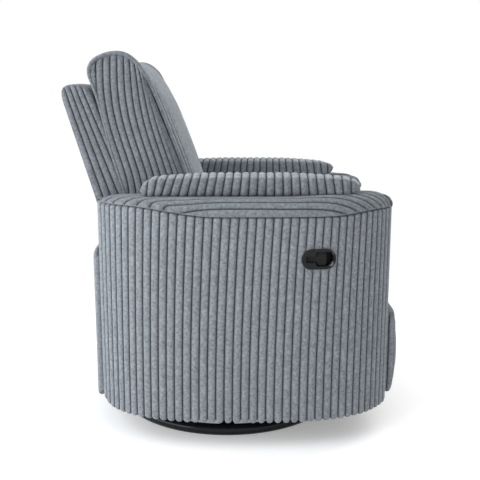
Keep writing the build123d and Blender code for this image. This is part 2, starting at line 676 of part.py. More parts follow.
def back_cushion():
    """Pillow lofted from side to side, thin at its edges and highest at its two top corners."""
    sections = []
    for share, draw, fullness, rise in (
        (-1.0, 1.0, 0.2, 0.0), (-0.9, 0.25, 0.5, 1.0), (-0.5, 0.0, 0.9, 0.2), (0.0, 0.0, 1.0, 0.0),
        (0.5, 0.0, 0.9, 0.2), (0.9, 0.25, 0.5, 1.0), (1.0, 1.0, 0.2, 0.0),
    ):
        face = cushion_profile(BACK_DRAW * draw, BACK_CROWN * fullness, BACK_EAR_RISE * rise)
        sections.append(Plane.XZ.offset(-BACK_CUSHION_HALF * share) * face)
    return loft(sections) - hinge_notch() - mirrored(hinge_notch())


def seat_profile(draw, crown):
    """Side view of the seat cushion: crowned on top, bowed in front."""
    rear = SEAT_REAR + draw
    front = SEAT_FRONT - draw - SEAT_CROWN
    low = SEAT_BOTTOM + draw / 2
    high = SEAT_TOP_Z - draw
    middle = (low + high) / 2
    return make_face([
        Line((rear, low), (front, low)),
        ThreePointArc((front, low), (front + SEAT_CROWN, middle), (front, high)),
        ThreePointArc((front, high), ((rear + front) / 2, high + crown), (rear, high)),
        Line((rear, high), (rear, low)),
    ])


def seat_cushion():
    sections = []
    for share, draw, fullness in (
        (-1.0, 1.0, 0.2), (-0.92, 0.2, 0.6), (-0.5, 0.0, 0.9), (0.0, 0.0, 1.0),
        (0.5, 0.0, 0.9), (0.92, 0.2, 0.6), (1.0, 1.0, 0.2),
    ):
        face = seat_profile(SEAT_DRAW * draw, SEAT_CROWN * fullness)
        sections.append(Plane.XZ.offset(-SEAT_HALF * share) * face)
    return loft(sections)


def seat_side_rail():
    front = FOOT_BOARD_X - APRON
    rear = MECH_REAR + BACK_EAR
    inner = SEAT_RAIL_Y - SEAT_RAIL_WIDTH
    return block(rear, front, inner, SEAT_RAIL_Y, SEAT_RAIL_Z, SEAT_RAIL_TOP)


def seat_cross_rails():
    half = SEAT_RAIL_Y - SEAT_RAIL_WIDTH
    front = FOOT_BOARD_X - APRON
    rear = MECH_REAR + BACK_EAR
    return [
        block(x, x + SEAT_RAIL_WIDTH, -half, half, SEAT_RAIL_Z, SEAT_RAIL_TOP)
        for x in (rear, front - SEAT_RAIL_WIDTH)
    ]


def zigzag(length):
    """A sinuous spring laid flat along X, as a bent wire of square section with straight ends."""
    turns = int(length // (SPRING_PITCH / 2))
    step = length / turns
    points = [(0, 0), (step / 2, 0)]
    for turn in range(1, turns - 1):
        swing = SPRING_SWING / 2 * (1 if turn % 2 else -1)
        points.append((step * (turn + 0.5), swing))
    points += [(length - step / 2, 0), (length, 0)]
    return trace(Polyline(*points), SPRING_WIRE)


def seat_springs():
    rear = MECH_REAR + BACK_EAR
    length = FOOT_BOARD_X - APRON - rear
    pitch = 2 * (SEAT_RAIL_Y - SEAT_RAIL_WIDTH) / SEAT_SPRING_COUNT
    spring = extrude(Pos(rear, 0, SPRING_Z) * zigzag(length), amount=SPRING_WIRE)
    first = -pitch * (SEAT_SPRING_COUNT - 1) / 2
    return [Pos(0, first + pitch * count, 0) * spring for count in range(SEAT_SPRING_COUNT)]


def seat_apron():
    """Padded front edge under the seat cushion."""
    front = FOOT_BOARD_X + FOOT_BOARD
    top = SEAT_BOTTOM - CUSHION_PLAY
    face = Pos(front - APRON / 2 - FOOT_BOARD, top - APRON_HEIGHT / 2) * Rectangle(APRON, APRON_HEIGHT)
    face = fillet(face.vertices().group_by(Axis.X)[-1], APRON / 3)
    return plate(face, -SEAT_HALF, SEAT_HALF)


def foot_rear_links():
    """Links that swing on the mechanism plates, one a side."""
    pivot, knee, _ = foot_points()
    face = link_face(pivot, knee, FOOT_LINK_WIDTH)
    face -= hole(pivot, FOOT_TUBE + 2 * PIN_SEAT) + hole(knee, PIN + 2 * PIN_SEAT)
    return pair(plate(face, FOOT_REAR_Y, FOOT_REAR_Y + FOOT_LINK_PLATE))


def torque_tube():
    """Tube that turns in both mechanism plates and joins the rear links."""
    pivot = foot_points()[0]
    end = MECH_Y + MECH_PLATE + FOOT_STEP
    tube = turned(*pivot, (-end, end, FOOT_TUBE))
    return tube - turned(*pivot, (-end, end, FOOT_TUBE - 2 * FOOT_TUBE_WALL))


def knee_pins():
    knee = foot_points()[1]
    inner = FOOT_FRONT_Y - FACE_PLAY
    outer = FOOT_REAR_Y + FOOT_LINK_PLATE
    return pair(turned(*knee, (inner - PIN_HEAD_HEIGHT, inner, PIN_HEAD), (inner, outer, PIN)))


def foot_front_links():
    """Links from the knees to the board's hinge, one a side."""
    _, knee, hinge = foot_points()
    face = link_face(knee, hinge, FOOT_LINK_WIDTH)
    face -= hole(knee, PIN + 2 * PIN_PLAY) + hole(hinge, FOOT_TUBE + 2 * PIN_SEAT)
    return pair(plate(face, FOOT_FRONT_Y, FOOT_FRONT_Y + FOOT_LINK_PLATE))


def cross_tube():
    """Tube between the front links that the footrest's brackets turn on."""
    hinge = foot_points()[2]
    end = FOOT_FRONT_Y + FOOT_LINK_PLATE
    tube = turned(*hinge, (-end, end, FOOT_TUBE))
    return tube - turned(*hinge, (-end, end, FOOT_TUBE - 2 * FOOT_TUBE_WALL))


def foot_bracket():
    """Bracket from the cross tube to the back of the footrest's board, with a foot along the board."""
    hinge = foot_points()[2]
    arm = FOOT_LINK_WIDTH
    foot_low = FOOT_Z + arm
    foot_high = FOOT_TOP_Z - arm / 2
    foot_x = FOOT_BOARD_X - MECH_PLATE
    corner = (FOOT_BOARD_X - arm / 2, foot_high - arm)
    face = link_face(hinge, corner, FOOT_TUBE + arm / 2)
    face += Pos(FOOT_BOARD_X - arm / 2, (foot_low + foot_high) / 2) * Rectangle(arm, foot_high - foot_low)
    face -= Pos(FOOT_BOARD_X + arm, hinge[1]) * Rectangle(2 * arm, 4 * FOOT_LINK)
    face -= hole(hinge, FOOT_TUBE + 2 * PIN_PLAY)
    web = plate(face, FOOT_BRACKET_Y, FOOT_BRACKET_Y + MECH_PLATE)
    return web + block(foot_x, FOOT_BOARD_X, FOOT_BRACKET_Y - arm, FOOT_BRACKET_Y, foot_low, foot_high)


def foot_board():
    middle = (FOOT_Z + FOOT_TOP_Z) / 2
    height = FOOT_TOP_Z - FOOT_Z - 2 * FOOT_BOARD / 3
    board = Pos(FOOT_BOARD_X + FOOT_BOARD / 2, 0, middle) * Box(FOOT_BOARD, 2 * FOOT_BOARD_HALF, height)
    return fillet(board.edges().filter_by(Axis.X), FOOT_BOARD)


def foot_pad():
    """Crowned pad on the footrest's board, lofted from side to side."""
    rear = FOOT_BOARD_X + FOOT_BOARD + PLAY
    middle = (FOOT_Z + FOOT_TOP_Z) / 2
    sections = []
    for share, draw, fullness in (
        (-1.0, 1.0, 0.1), (-0.93, 0.2, 0.7), (-0.5, 0.0, 0.95), (0.0, 0.0, 1.0),
        (0.5, 0.0, 0.95), (0.93, 0.2, 0.7), (1.0, 1.0, 0.1),
    ):
        inset = FOOT_CROWN * draw
        front = rear + FOOT_PAD - inset
        low = FOOT_Z + inset
        high = FOOT_TOP_Z - inset
        face = make_face([
            Line((rear, high), (rear, low)),
            ThreePointArc((rear, low), (rear + (front - rear) * 0.75, low + 2), (front, low + FOOT_PAD)),
            ThreePointArc(
                (front, low + FOOT_PAD), (front + FOOT_CROWN * fullness, middle), (front, high - FOOT_PAD)
            ),
            ThreePointArc((front, high - FOOT_PAD), (rear + (front - rear) * 0.75, high - 2), (rear, high)),
        ])
        sections.append(Plane.XZ.offset(-FOOT_PAD_HALF * share) * face)
    return loft(sections)


def latch_plane():
    """Plane on the right side cover's face: x forward along it, y up, z outward."""
    ahead = LATCH_X - BODY_FORWARD
    share = 1 - (ahead / (BODY_LENGTH / 2)) ** BODY_SQUARENESS
    y = HALF_WIDTH * share ** (1 / BODY_SQUARENESS)
    slope = (HALF_WIDTH / (BODY_LENGTH / 2)) ** BODY_SQUARENESS * (ahead / y) ** (BODY_SQUARENESS - 1)
    turn = math.atan(slope)
    forward = (math.cos(turn), math.sin(turn), 0)
    outward = (math.sin(turn), -math.cos(turn), 0)
    return Plane((LATCH_X, -y, LATCH_Z), x_dir=forward, z_dir=outward)


def latch_body_outline(play):
    length = LATCH_LENGTH - 2 * LATCH_BODY_INSET + 2 * play
    return SlotOverall(length, LATCH_HEIGHT - 2 * LATCH_BODY_INSET + 2 * play)


def latch_pin_place():
    """Where the lever turns: local x and z of the upright pin in the stem's slot."""
    return STEM_SLOT_REAR + LEVER_PLATE, -LEVER_PLATE


def latch_bezel():
    """Oval housing with a finger pocket in front of the lever and a slot for its stem."""
    flange = extrude(SlotOverall(LATCH_LENGTH, LATCH_HEIGHT), amount=LATCH_FLANGE)
    flange = fillet(flange.edges().group_by(Axis.Z)[-1], LATCH_FLANGE * 0.6)
    body = extrude(latch_body_outline(0.0), amount=-LATCH_DEPTH)
    pocket_length = POCKET_FRONT - POCKET_REAR
    pocket = RectangleRounded(pocket_length, POCKET_HEIGHT, POCKET_CORNER)
    pocket = Pos((POCKET_REAR + POCKET_FRONT) / 2, 0) * pocket
    slot_length = POCKET_REAR - STEM_SLOT_REAR
    slot = Pos(STEM_SLOT_REAR + slot_length / 2 + 2, 0) * Rectangle(slot_length + 4, STEM_SLOT_HEIGHT)
    floor = LATCH_DEPTH - LATCH_FLOOR
    housing = flange + body
    housing -= extrude(Pos(0, 0, LATCH_FLANGE) * (pocket + slot), amount=-(LATCH_FLANGE + floor))
    x, z = latch_pin_place()
    return housing - Pos(x, 0, z) * Rot(90, 0, 0) * Cylinder(LATCH_PIN / 2 + PIN_SEAT, 2 * STEM_SLOT_HEIGHT)


def latch_lever():
    """Stem with a wide paddle; it turns on the pin, and fingers behind the paddle pull it outward."""
    x, z = latch_pin_place()
    stem_end = POCKET_REAR + LEVER_PLAY + LEVER_PLATE
    half_plate = LEVER_PLATE / 2
    stem_length = stem_end - x
    stem = Pos(x + stem_length / 2, 0, z) * Box(stem_length, STEM_SLOT_HEIGHT - 2 * LEVER_PLAY, LEVER_PLATE)
    knuckle = Pos(x, 0, z) * Rot(90, 0, 0) * Cylinder(half_plate + 1, STEM_SLOT_HEIGHT - 2 * LEVER_PLAY)
    wide = POCKET_HEIGHT - 4 * LEVER_PLAY
    paddle_x = POCKET_REAR + PADDLE_ROOM
    paddle = Pos(paddle_x + PADDLE_LENGTH / 2, 0, z) * Box(PADDLE_LENGTH, wide, LEVER_PLATE)
    paddle = fillet(paddle.edges().filter_by(Axis.Z), POCKET_CORNER)
    lever = stem + knuckle + paddle
    return lever - Pos(x, 0, z) * Rot(90, 0, 0) * Cylinder(LATCH_PIN / 2 + PIN_PLAY, 2 * STEM_SLOT_HEIGHT)


def latch_pin():
    x, z = latch_pin_place()
    return Pos(x, 0, z) * Rot(90, 0, 0) * Cylinder(LATCH_PIN / 2, 2 * STEM_SLOT_HEIGHT)


def right_cover():
    """The right side cover, cut through for the latch's housing."""
    opening = extrude(Pos(0, 0, COVER_WALL) * latch_body_outline(LATCH_HOLE_PLAY), amount=-3 * COVER_WALL)
    return mirrored(side_cover()) - latch_plane().location * opening


os.makedirs("parts", exist_ok=True)
export("base_ring", base_ring())
export("base_cross_bars", *base_bars())
export("swivel_lower_plate", swivel_lower_plate())
export("swivel_slide_ring", slide_ring())
export("swivel_king_pin", king_pin())
export("base_bolts", *base_bolts())
export("swivel_upper_plate", swivel_upper_plate())
for side, shape in zip(("left", "right"), pair(glider_side())):
    export(f"glider_side_{side}", shape)
export("glider_cross_channels", *glider_channels())
export("glide_links_front", *glide_links(GLIDE_SPAN / 2))
export("glide_links_rear", *glide_links(-GLIDE_SPAN / 2))
export("glide_upper_pins", *upper_pins())
export("glide_lower_pins", *lower_pins())
for side, shape in zip(("left", "right"), pair(hanger())):
    export(f"carriage_hanger_{side}", shape)
export("runners", *pair(runner()))
export("front_stretcher", stretcher(RUNNER_FRONT))
export("rear_stretcher", stretcher(RUNNER_REAR - STRETCHER))
for side, shape in zip(("left", "right"), pair(arm_board())):
    export(f"arm_frame_{side}", shape)
for side, shape in zip(("left", "right"), pair(inner_panel())):
    export(f"arm_inner_panel_{side}", shape)
export("side_cover_left", side_cover())
export("side_cover_right", right_cover())
for side, shape in zip(("left", "right"), pair(arm_top())):
    export(f"arm_top_{side}", shape)
for side, shape in zip(("left", "right"), pair(arm_pad())):
    export(f"arm_pad_{side}", shape)
export("rear_panel", rear_panel())
for side, shape in zip(("left", "right"), pair(mech_plate())):
    export(f"mechanism_plate_{side}", shape)
export("back_hinge_ears", *pair(back_ear()))
export("back_hinge_pins", *back_pins())
export("seat_side_rails", *pair(seat_side_rail()))
export("seat_cross_rails", *seat_cross_rails())
export("seat_springs", *seat_springs())
export("seat_cushion", seat_cushion())
export("seat_apron", seat_apron())
export("latch_bezel", latch_plane().location * latch_bezel())
export("latch_pin", latch_plane().location * latch_pin())
export("latch_lever", latch_plane().location * latch_lever())
export("footrest_rear_links", *foot_rear_links())
export("footrest_torque_tube", torque_tube())
export("footrest_knee_pins", *knee_pins())
export("footrest_front_links", *foot_front_links())
export("footrest_cross_tube", cross_tube())
export("footrest_brackets", *pair(foot_bracket()))
export("footrest_board", foot_board())
export("footrest_pad", foot_pad())
export("back_uprights", *back_uprights())
export("back_rails", *back_rails())
export("back_springs", *back_springs())
export("back_brackets", *pair(back_bracket()))
export("back_outside_pad", back_pad())
export("back_cushion", back_cushion())
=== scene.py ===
import json
import math

import bmesh
import bpy
import numpy as np
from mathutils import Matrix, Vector
from mathutils.kdtree import KDTree


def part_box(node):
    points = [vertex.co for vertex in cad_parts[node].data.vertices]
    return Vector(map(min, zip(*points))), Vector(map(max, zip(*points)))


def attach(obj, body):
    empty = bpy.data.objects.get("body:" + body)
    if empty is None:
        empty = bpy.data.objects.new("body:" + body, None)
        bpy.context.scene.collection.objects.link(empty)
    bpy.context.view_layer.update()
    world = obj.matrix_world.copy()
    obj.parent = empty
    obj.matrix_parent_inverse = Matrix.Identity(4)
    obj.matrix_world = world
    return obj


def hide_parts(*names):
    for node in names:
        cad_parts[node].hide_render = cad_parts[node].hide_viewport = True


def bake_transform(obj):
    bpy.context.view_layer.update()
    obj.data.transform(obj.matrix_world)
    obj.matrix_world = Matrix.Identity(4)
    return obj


bl_info = {
    "name": "Glider Recliner Upholstery",
    "version": (1, 0, 0),
    "blender": (4, 5, 0),
    "location": "View3D > Sidebar > Recliner",
    "description": "Corduroy upholstery, finishes and stage for a swivel glider recliner",
    "category": "Object",
}

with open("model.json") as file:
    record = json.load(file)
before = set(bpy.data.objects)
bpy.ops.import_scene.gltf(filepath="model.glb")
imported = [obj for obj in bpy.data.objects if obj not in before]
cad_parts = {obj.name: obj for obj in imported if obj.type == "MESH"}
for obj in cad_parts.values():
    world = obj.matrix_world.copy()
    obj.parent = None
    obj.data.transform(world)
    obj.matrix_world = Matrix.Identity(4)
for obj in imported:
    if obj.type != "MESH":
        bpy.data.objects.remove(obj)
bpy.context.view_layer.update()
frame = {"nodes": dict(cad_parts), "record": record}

# shares of a wale's width at which its section is sampled, close together beside the groove
WALE_STOPS = (0.0, 0.04, 0.11, 0.24, 0.40, 0.60, 0.76, 0.89, 0.96)
# share of a wale's width at its crest
CREST = 0.5
# powers that flatten a wale's crest and round its sides
CREST_FLATNESS, CREST_ROUNDNESS = 2.1, 0.55
# share of a wale's width in which a groove's painted shade fades
GROOVE_SHARE = 0.10
# share of a wale's height that lies inside the face of the grid
WALE_SUNK = 0.75
# painted light and shade of the pile: even as the cloth comes, darker on the arms and on the back's sides,
# lighter on its front
EVEN_PAINTED_LIGHT, ARM_PAINTED_SHADE, SIDE_PAINTED_SHADE, FRONT_PAINTED_LIGHT = 0.5, 0.36, 0.32, 0.72
# distance at which points are merged, and length under which an edge is dropped
MERGE, SPECK = 2e-5, 1e-6

# size of the even mesh that swells in a pillow's place
SWELL_VOXEL = 0.011
# steps in which it swells
SWELL_STEPS = 20
# how many of its points move a point of the pillow
SWELL_NEAR = 5
# depth from its seat and from its side seams in which a pillow is held
HELD, SEAM_HELD = 0.004, 0.001
# settings of the cloth that swells
SWELL_CLOTH = {
    "quality": 6, "mass": 0.3, "tension_stiffness": 18, "compression_stiffness": 18, "bending_stiffness": 2.0,
    "use_pressure": True, "uniform_pressure_force": 4.0, "vertex_group_mass": "held",
}

# height of the seam under the arm tops, and how far it climbs to the rear and to the front
SEAM_HEIGHT, SEAM_REAR_CLIMB, SEAM_FRONT_CLIMB = 0.594, 0.022, 0.010
# distances behind and ahead of the swivel axis between which it climbs
SEAM_REAR_SPAN, SEAM_FRONT_SPAN = (0.02, 0.25), (0.26, 0.38)
# share of a wall's height up to which its rows are even, and the rows above it
SEAM_FROM, SEAM_ROWS = 0.972, (0.982, 0.989, 0.994, 0.998, 1.0)
# how far a wall's upper edge is tucked in, and how much painted shade its crease gets
SEAM_TUCK, SEAM_SHADE = 0.008, 0.7
# shares of the height below the upper edge in which it is tucked in and its wales flatten
TUCK_SHARE, FLAT_SHARE = 0.016, 0.012
# shares of the height between which the painted shade grows
SHADE_SPAN = (0.991, 0.999)
# distances from a wall's ends between which the tuck and the painted shade grow
TUCK_SPAN = (0.008, 0.03)
# length of a wall's rounded ends, and of the climb at its start
WALL_END, CORNER_LENGTH = 0.006, 0.07
# share of a wale at a wall's ends in which the relief grows
END_WALE = 0.3
# how far the wales scallop a wall's foot, and the relief that is left under it
SCALLOP, FOOT_RELIEF = 0.006, 0.35

# steps round the band of a boxed cushion, and up its sides
BAND_STEP, SIDE_STEP = 0.009, 0.012
# power with which the band's edges are drawn in
DRAW_POWER = 7
# shares of the band, and of a side's height and depth, in which the relief grows from the edge
BAND_SHARE, LEVEL_SHARE, DEPTH_SHARE = 0.035, 0.05, 0.12
# relief at the band's edge
EDGE_RELIEF = 0.15
# how far the band faces forward where the front's painted light begins, and where it is full
FRONT_SPAN = (0.3, 0.8)
# how far a side turns in where its relief begins to fade and where it ends, and the share that it loses
TURNED_SPAN, TURNED_FADE = (0.002, 0.007), 0.9
# share of a side that a rounded corner may take
SIDE_ROOM = 0.49

# a point on the back's outside face in X and Z, and how far the face leans
BACK_X, BACK_Z = -0.346, 0.634
BACK_LEAN = math.radians(16.6)

# the arms' sides, and whether each is the mirror image
SIDES = (("left", False), ("right", True))


class CorduroySettings(bpy.types.PropertyGroup):
    """Wales and colours of the upholstery."""

    pitch: bpy.props.FloatProperty(
        name="Wale pitch", description="Width of one wale", default=0.0208, unit="LENGTH"
    )
    height: bpy.props.FloatProperty(
        name="Wale height", description="Depth of the groove between wales", default=0.0055, unit="LENGTH"
    )
    rib: bpy.props.FloatVectorProperty(
        name="Rib", description="Colour of the pile", subtype="COLOR", size=3,
        default=(0.262, 0.283, 0.306),
    )
    # painted shade: colour laid in the grooves between the wales and along tucked seams
    painted_shade: bpy.props.FloatVectorProperty(
        name="Groove", description="Colour between the wales", subtype="COLOR", size=3,
        default=(0.050, 0.047, 0.058),
    )


class BodySettings(bpy.types.PropertyGroup):
    """Outline of the barrel body, as the frame has it."""

    half_length: bpy.props.FloatProperty(
        name="Half length", description="Half the barrel's length", default=0.415, unit="LENGTH"
    )
    half_width: bpy.props.FloatProperty(
        name="Half width", description="Half the barrel's width", default=0.392, unit="LENGTH"
    )
    forward: bpy.props.FloatProperty(
        name="Forward", description="Barrel's centre ahead of the swivel axis", default=0.050, unit="LENGTH"
    )
    squareness: bpy.props.FloatProperty(
        name="Squareness", description="Exponent of the plan outline", default=3.0
    )
    wall: bpy.props.FloatProperty(
        name="Wall", description="Thickness of a side cover", default=0.024, unit="LENGTH"
    )
    inner: bpy.props.FloatProperty(
        name="Arm's inner face", description="Half the room between the arms", default=0.244, unit="LENGTH"
    )
    rear: bpy.props.FloatProperty(
        name="Rear reach", description="How much further the barrel reaches to the rear than to the front",
        default=0.007, unit="LENGTH",
    )
    lean: bpy.props.FloatProperty(
        name="Wale lean", description="How far the wales lean forward at the seam",
        default=0.018, unit="LENGTH",
    )


class FinishSettings(bpy.types.PropertyGroup):
    """Colours of the hard pieces."""

    ring: bpy.props.FloatVectorProperty(
        name="Ring", description="Gloss paint of the base ring", subtype="COLOR", size=3,
        default=(0.012, 0.014, 0.018),
    )
    steel: bpy.props.FloatVectorProperty(
        name="Black steel", description="Paint of the mechanism", subtype="COLOR", size=3,
        default=(0.020, 0.020, 0.022),
    )
    latch: bpy.props.FloatVectorProperty(
        name="Latch", description="Moulded plastic of the latch", subtype="COLOR", size=3,
        default=(0.014, 0.014, 0.015),
    )
    wood: bpy.props.FloatVectorProperty(
        name="Wood", description="Plywood and rails of the frame", subtype="COLOR", size=3,
        default=(0.55, 0.40, 0.25),
    )


class StageSettings(bpy.types.PropertyGroup):
    """Camera and light."""

    eye: bpy.props.FloatVectorProperty(
        name="Eye", description="Camera's place", subtype="TRANSLATION", size=3,
        default=(0.035, -2.098, 0.849),
    )
    pitch: bpy.props.FloatProperty(
        name="Pitch", description="How far the camera looks down", subtype="ANGLE",
        default=math.radians(10.29),
    )
    lens: bpy.props.FloatProperty(
        name="Lens", description="Focal length in millimetres", default=54.27
    )
    sky: bpy.props.FloatProperty(
        name="Sky", description="Strength of the light from all round", default=0.48
    )
    lift: bpy.props.FloatProperty(
        name="Floor lift", description="White added to the floor that the camera sees", default=0.28
    )


def settings():
    """The recliner's settings in the scene."""
    return bpy.context.scene.recliner


# Fabric


def wale_stops(length, pitch):
    """Places along a length at which a wale's section is sampled, and the wale count at each."""
    count = max(1, round(length / pitch))
    wales = np.array([n + s for n in range(count) for s in WALE_STOPS] + [float(count)])
    return wales * (length / count), wales


def wale_height(wales):
    """Height of the pile across the wales, 0 in a groove and 1 on a crest."""
    share = wales - np.floor(wales)
    return np.clip(1 - np.abs(2 * share - 1) ** CREST_FLATNESS, 0, 1) ** CREST_ROUNDNESS


def wale_groove_shade(wales):
    """Painted shade across the wales, 1 in a groove."""
    share = wales - np.floor(wales)
    return np.exp(-((np.minimum(share, 1 - share) / GROOVE_SHARE) ** 2))


def run_along(points):
    """Distance of each point of a polyline from its first one."""
    return np.concatenate([[0], np.cumsum(np.linalg.norm(np.diff(points, axis=0), axis=1))])


def resampled(points, places):
    """Points at given distances along a polyline."""
    run = run_along(points)
    return np.stack([np.interp(places, run, points[:, k]) for k in range(points.shape[1])], axis=1)


def length_of(points):
    """Length of a polyline."""
    return float(np.linalg.norm(np.diff(points, axis=0), axis=1).sum())


def smooth(x, low, high, least=0.0):
    """Smooth step from least at low to 1 at high."""
    t = np.clip((np.asarray(x, float) - low) / (high - low), 0, 1)
    return least + (1 - least) * (t * t * (3 - 2 * t))


def soft_line(x, points, samples=400, passes=30):
    """Heights at x on a line through points, with its corners softened."""
    fine = np.linspace(points[0, 0], points[-1, 0], samples)
    heights = np.interp(fine, points[:, 0], points[:, 1])
    for _ in range(passes):
        heights[1:-1] = (heights[:-2] + 2 * heights[1:-1] + heights[2:]) / 4
    return np.interp(x, fine, heights)


class Cloth:
    """Collects grids of points into one upholstered piece."""

    def __init__(self):
        self.points, self.faces = [], []
        self.values = {"wale": [], "relief": [], "painted_light": [], "crease_shade": []}
        self.count = 0

    def grid(self, points, wales=CREST, relief=0.0, wrap=False, skip=None, painted_light=EVEN_PAINTED_LIGHT, crease_shade=0.0):
        """Adds a grid of rows and columns. wales counts the wales, relief is how far they stand out,
        wrap joins the last row to the first, skip leaves faces out, nap is the painted light and shade of the
        pile, crease the painted shade along a seam."""
        rows, cols = points.shape[:2]
        start = self.count
        self.points.append(points.reshape(-1, 3))
        for name, value in (("wale", wales), ("relief", relief), ("painted_light", painted_light), ("crease_shade", crease_shade)):
            self.values[name].append(np.broadcast_to(value, (rows, cols)).reshape(-1))
        self.count += rows * cols
        for r in range(rows if wrap else rows - 1):
            below = (r + 1) % rows
            for c in range(cols - 1):
                if skip is not None and skip[r, c]:
                    continue
                self.faces.append((
                    start + r * cols + c, start + r * cols + c + 1,
                    start + below * cols + c + 1, start + below * cols + c,
                ))

    def fan(self, line, closed=False):
        """Closes the end of a grid with faces from a line of its points to their middle."""
        middle = np.repeat(line.mean(axis=0)[None], len(line), axis=0)
        self.grid(np.stack([line, middle], axis=int(closed)), wrap=closed)

    def finish(self, name, swell=0.0, hold=None, flip=False):
        """Makes the piece: merges its grids, swells it, then raises the wales along the normals.
        swell is the furthest that a point moves, hold(points) the points that stay, flip mirrors it."""
        points = np.concatenate(self.points)
        if flip:
            points = points * (1, -1, 1)
        values = {field: np.concatenate(parts) for field, parts in self.values.items()}
        bm = bmesh.new()
        layers = {field: bm.verts.layers.float.new(field) for field in values}
        for index, point in enumerate(points):
            vert = bm.verts.new(point)
            for field, layer in layers.items():
                vert[layer] = values[field][index]
        bm.verts.ensure_lookup_table()
        for face in self.faces:
            bm.faces.new([bm.verts[i] for i in face])
        bmesh.ops.remove_doubles(bm, verts=bm.verts, dist=MERGE)
        bmesh.ops.dissolve_degenerate(bm, edges=bm.edges, dist=SPECK)
        bmesh.ops.recalc_face_normals(bm, faces=bm.faces)
        mesh = bpy.data.meshes.new(name)
        values = {field: np.array([v[layer] for v in bm.verts]) for field, layer in layers.items()}
        bm.to_mesh(mesh)
        bm.free()
        for field in ("wale", "relief", "crease_shade"):
            mesh.attributes.remove(mesh.attributes[field])
        if swell:
            swell_mesh(mesh, swell, hold)
        normals = np.zeros(len(mesh.vertices) * 3, np.float32)
        mesh.vertex_normals.foreach_get("vector", normals)
        rise = settings().corduroy.height * (wale_height(values["wale"]) - WALE_SUNK) * values["relief"]
        move_to(mesh, places_of(mesh) + normals.reshape(-1, 3) * rise[:, None])
        # painted shade: dark in the grooves between the wales and along the tucked seams
        dark = np.maximum(wale_groove_shade(values["wale"]) * np.clip(values["relief"], 0, 1), values["crease_shade"])
        painted_shade = mesh.attributes.new("painted_shade", "FLOAT", "POINT")
        painted_shade.data.foreach_set("value", dark.astype(np.float32))
        mesh.polygons.foreach_set("use_smooth", np.ones(len(mesh.polygons), bool))
        mesh.update()
        piece = bpy.data.objects.new(name, mesh)
        bpy.context.scene.collection.objects.link(piece)
        return piece


def places_of(mesh):
    """Places of a mesh's vertices."""
    values = np.zeros(len(mesh.vertices) * 3, np.float32)
    mesh.vertices.foreach_get("co", values)
    return values.reshape(-1, 3).astype(float)


def move_to(mesh, places):
    """Moves a mesh's vertices to new places."""
    mesh.vertices.foreach_set("co", places.astype(np.float32).ravel())
    mesh.update()


def swell_mesh(mesh, cap, hold):
    """Blows a copy of the mesh up as cloth with pressure, and moves the mesh as the copy moved."""
    scene = bpy.context.scene
    bpy.ops.object.select_all(action="DESELECT")
    body = bpy.data.objects.new("swelling", mesh.copy())
    scene.collection.objects.link(body)
    bpy.context.view_layer.objects.active = body
    body.select_set(True)
    remesh = body.modifiers.new("even", "REMESH")
    remesh.mode = "VOXEL"
    remesh.voxel_size = SWELL_VOXEL
    bpy.ops.object.modifier_apply(modifier=remesh.name)
    before = places_of(body.data)
    held = np.flatnonzero(hold(before))
    body.vertex_groups.new(name="held").add(held.tolist(), 1.0, "REPLACE")
    cloth = body.modifiers.new("cloth", "CLOTH")
    for name, value in SWELL_CLOTH.items():
        setattr(cloth.settings, name, value)
    cloth.settings.effector_weights.gravity = 0.0
    cloth.point_cache.frame_start = 1
    cloth.point_cache.frame_end = SWELL_STEPS
    for step in range(1, SWELL_STEPS + 1):
        scene.frame_set(step)
    shaped = body.evaluated_get(bpy.context.evaluated_depsgraph_get()).to_mesh()
    moved = places_of(shaped) - before
    moved *= np.minimum(1, cap / np.maximum(np.linalg.norm(moved, axis=1), 1e-9))[:, None]
    tree = KDTree(len(before))
    for index, point in enumerate(before):
        tree.insert(point, index)
    tree.balance()
    places = places_of(mesh)
    for index, point in enumerate(places):
        near = tree.find_n(point, SWELL_NEAR)
        weights = np.array([1 / (distance + 1e-4) for _, _, distance in near])
        places[index] += sum(moved[i] * w for (_, i, _), w in zip(near, weights)) / weights.sum()
    move_to(mesh, places)
    scene.frame_set(1)
    spare = body.data
    bpy.data.objects.remove(body)
    bpy.data.meshes.remove(spare)


def dress(piece, body, node):
    """Puts a finished padded piece on its body in place of its solid."""
    piece.data.materials.append(corduroy())
    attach(piece, body)
    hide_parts(node)


def dress_both(cloth, cover, node, fill, **finish):
    """Finishes a cloth for the left arm, and its mirror image for the right one."""
    for side, flip in SIDES:
        dress(cloth.finish(cover + side, flip=flip, **finish), "chassis", node + side)


def barrel_path(samples=2400):
    """Barrel's outline in plan along the left arm, from the front to the rear."""
    body = settings().body
    turn = np.linspace(0, math.pi, samples)
    power = 2 / body.squareness
    length = body.half_length + np.where(turn > math.pi / 2, body.rear, 0.0)
    x = body.forward + length * np.sign(np.cos(turn)) * np.abs(np.cos(turn)) ** power
    y = body.half_width * np.abs(np.sin(turn)) ** power
    keep = y >= body.inner
    return np.stack([x[keep], y[keep]], axis=1)


def seam_height(x):
    """Height of the seam under the arm top: it climbs to the rear, and a little to the front."""
    rear, front = smooth(-x, *SEAM_REAR_SPAN), smooth(x, *SEAM_FRONT_SPAN)
    return SEAM_HEIGHT + SEAM_REAR_CLIMB * rear + SEAM_FRONT_CLIMB * front


def level(height):
    """Function that gives one height for each of its points."""
    return lambda points: np.full(len(points), height)


def path_normals(path):
    """Normals of a path in plan, to its left."""
    run = np.gradient(path, axis=0)
    run /= np.linalg.norm(run, axis=1)[:, None]
    return np.stack([-run[:, 1], run[:, 0]], axis=1)


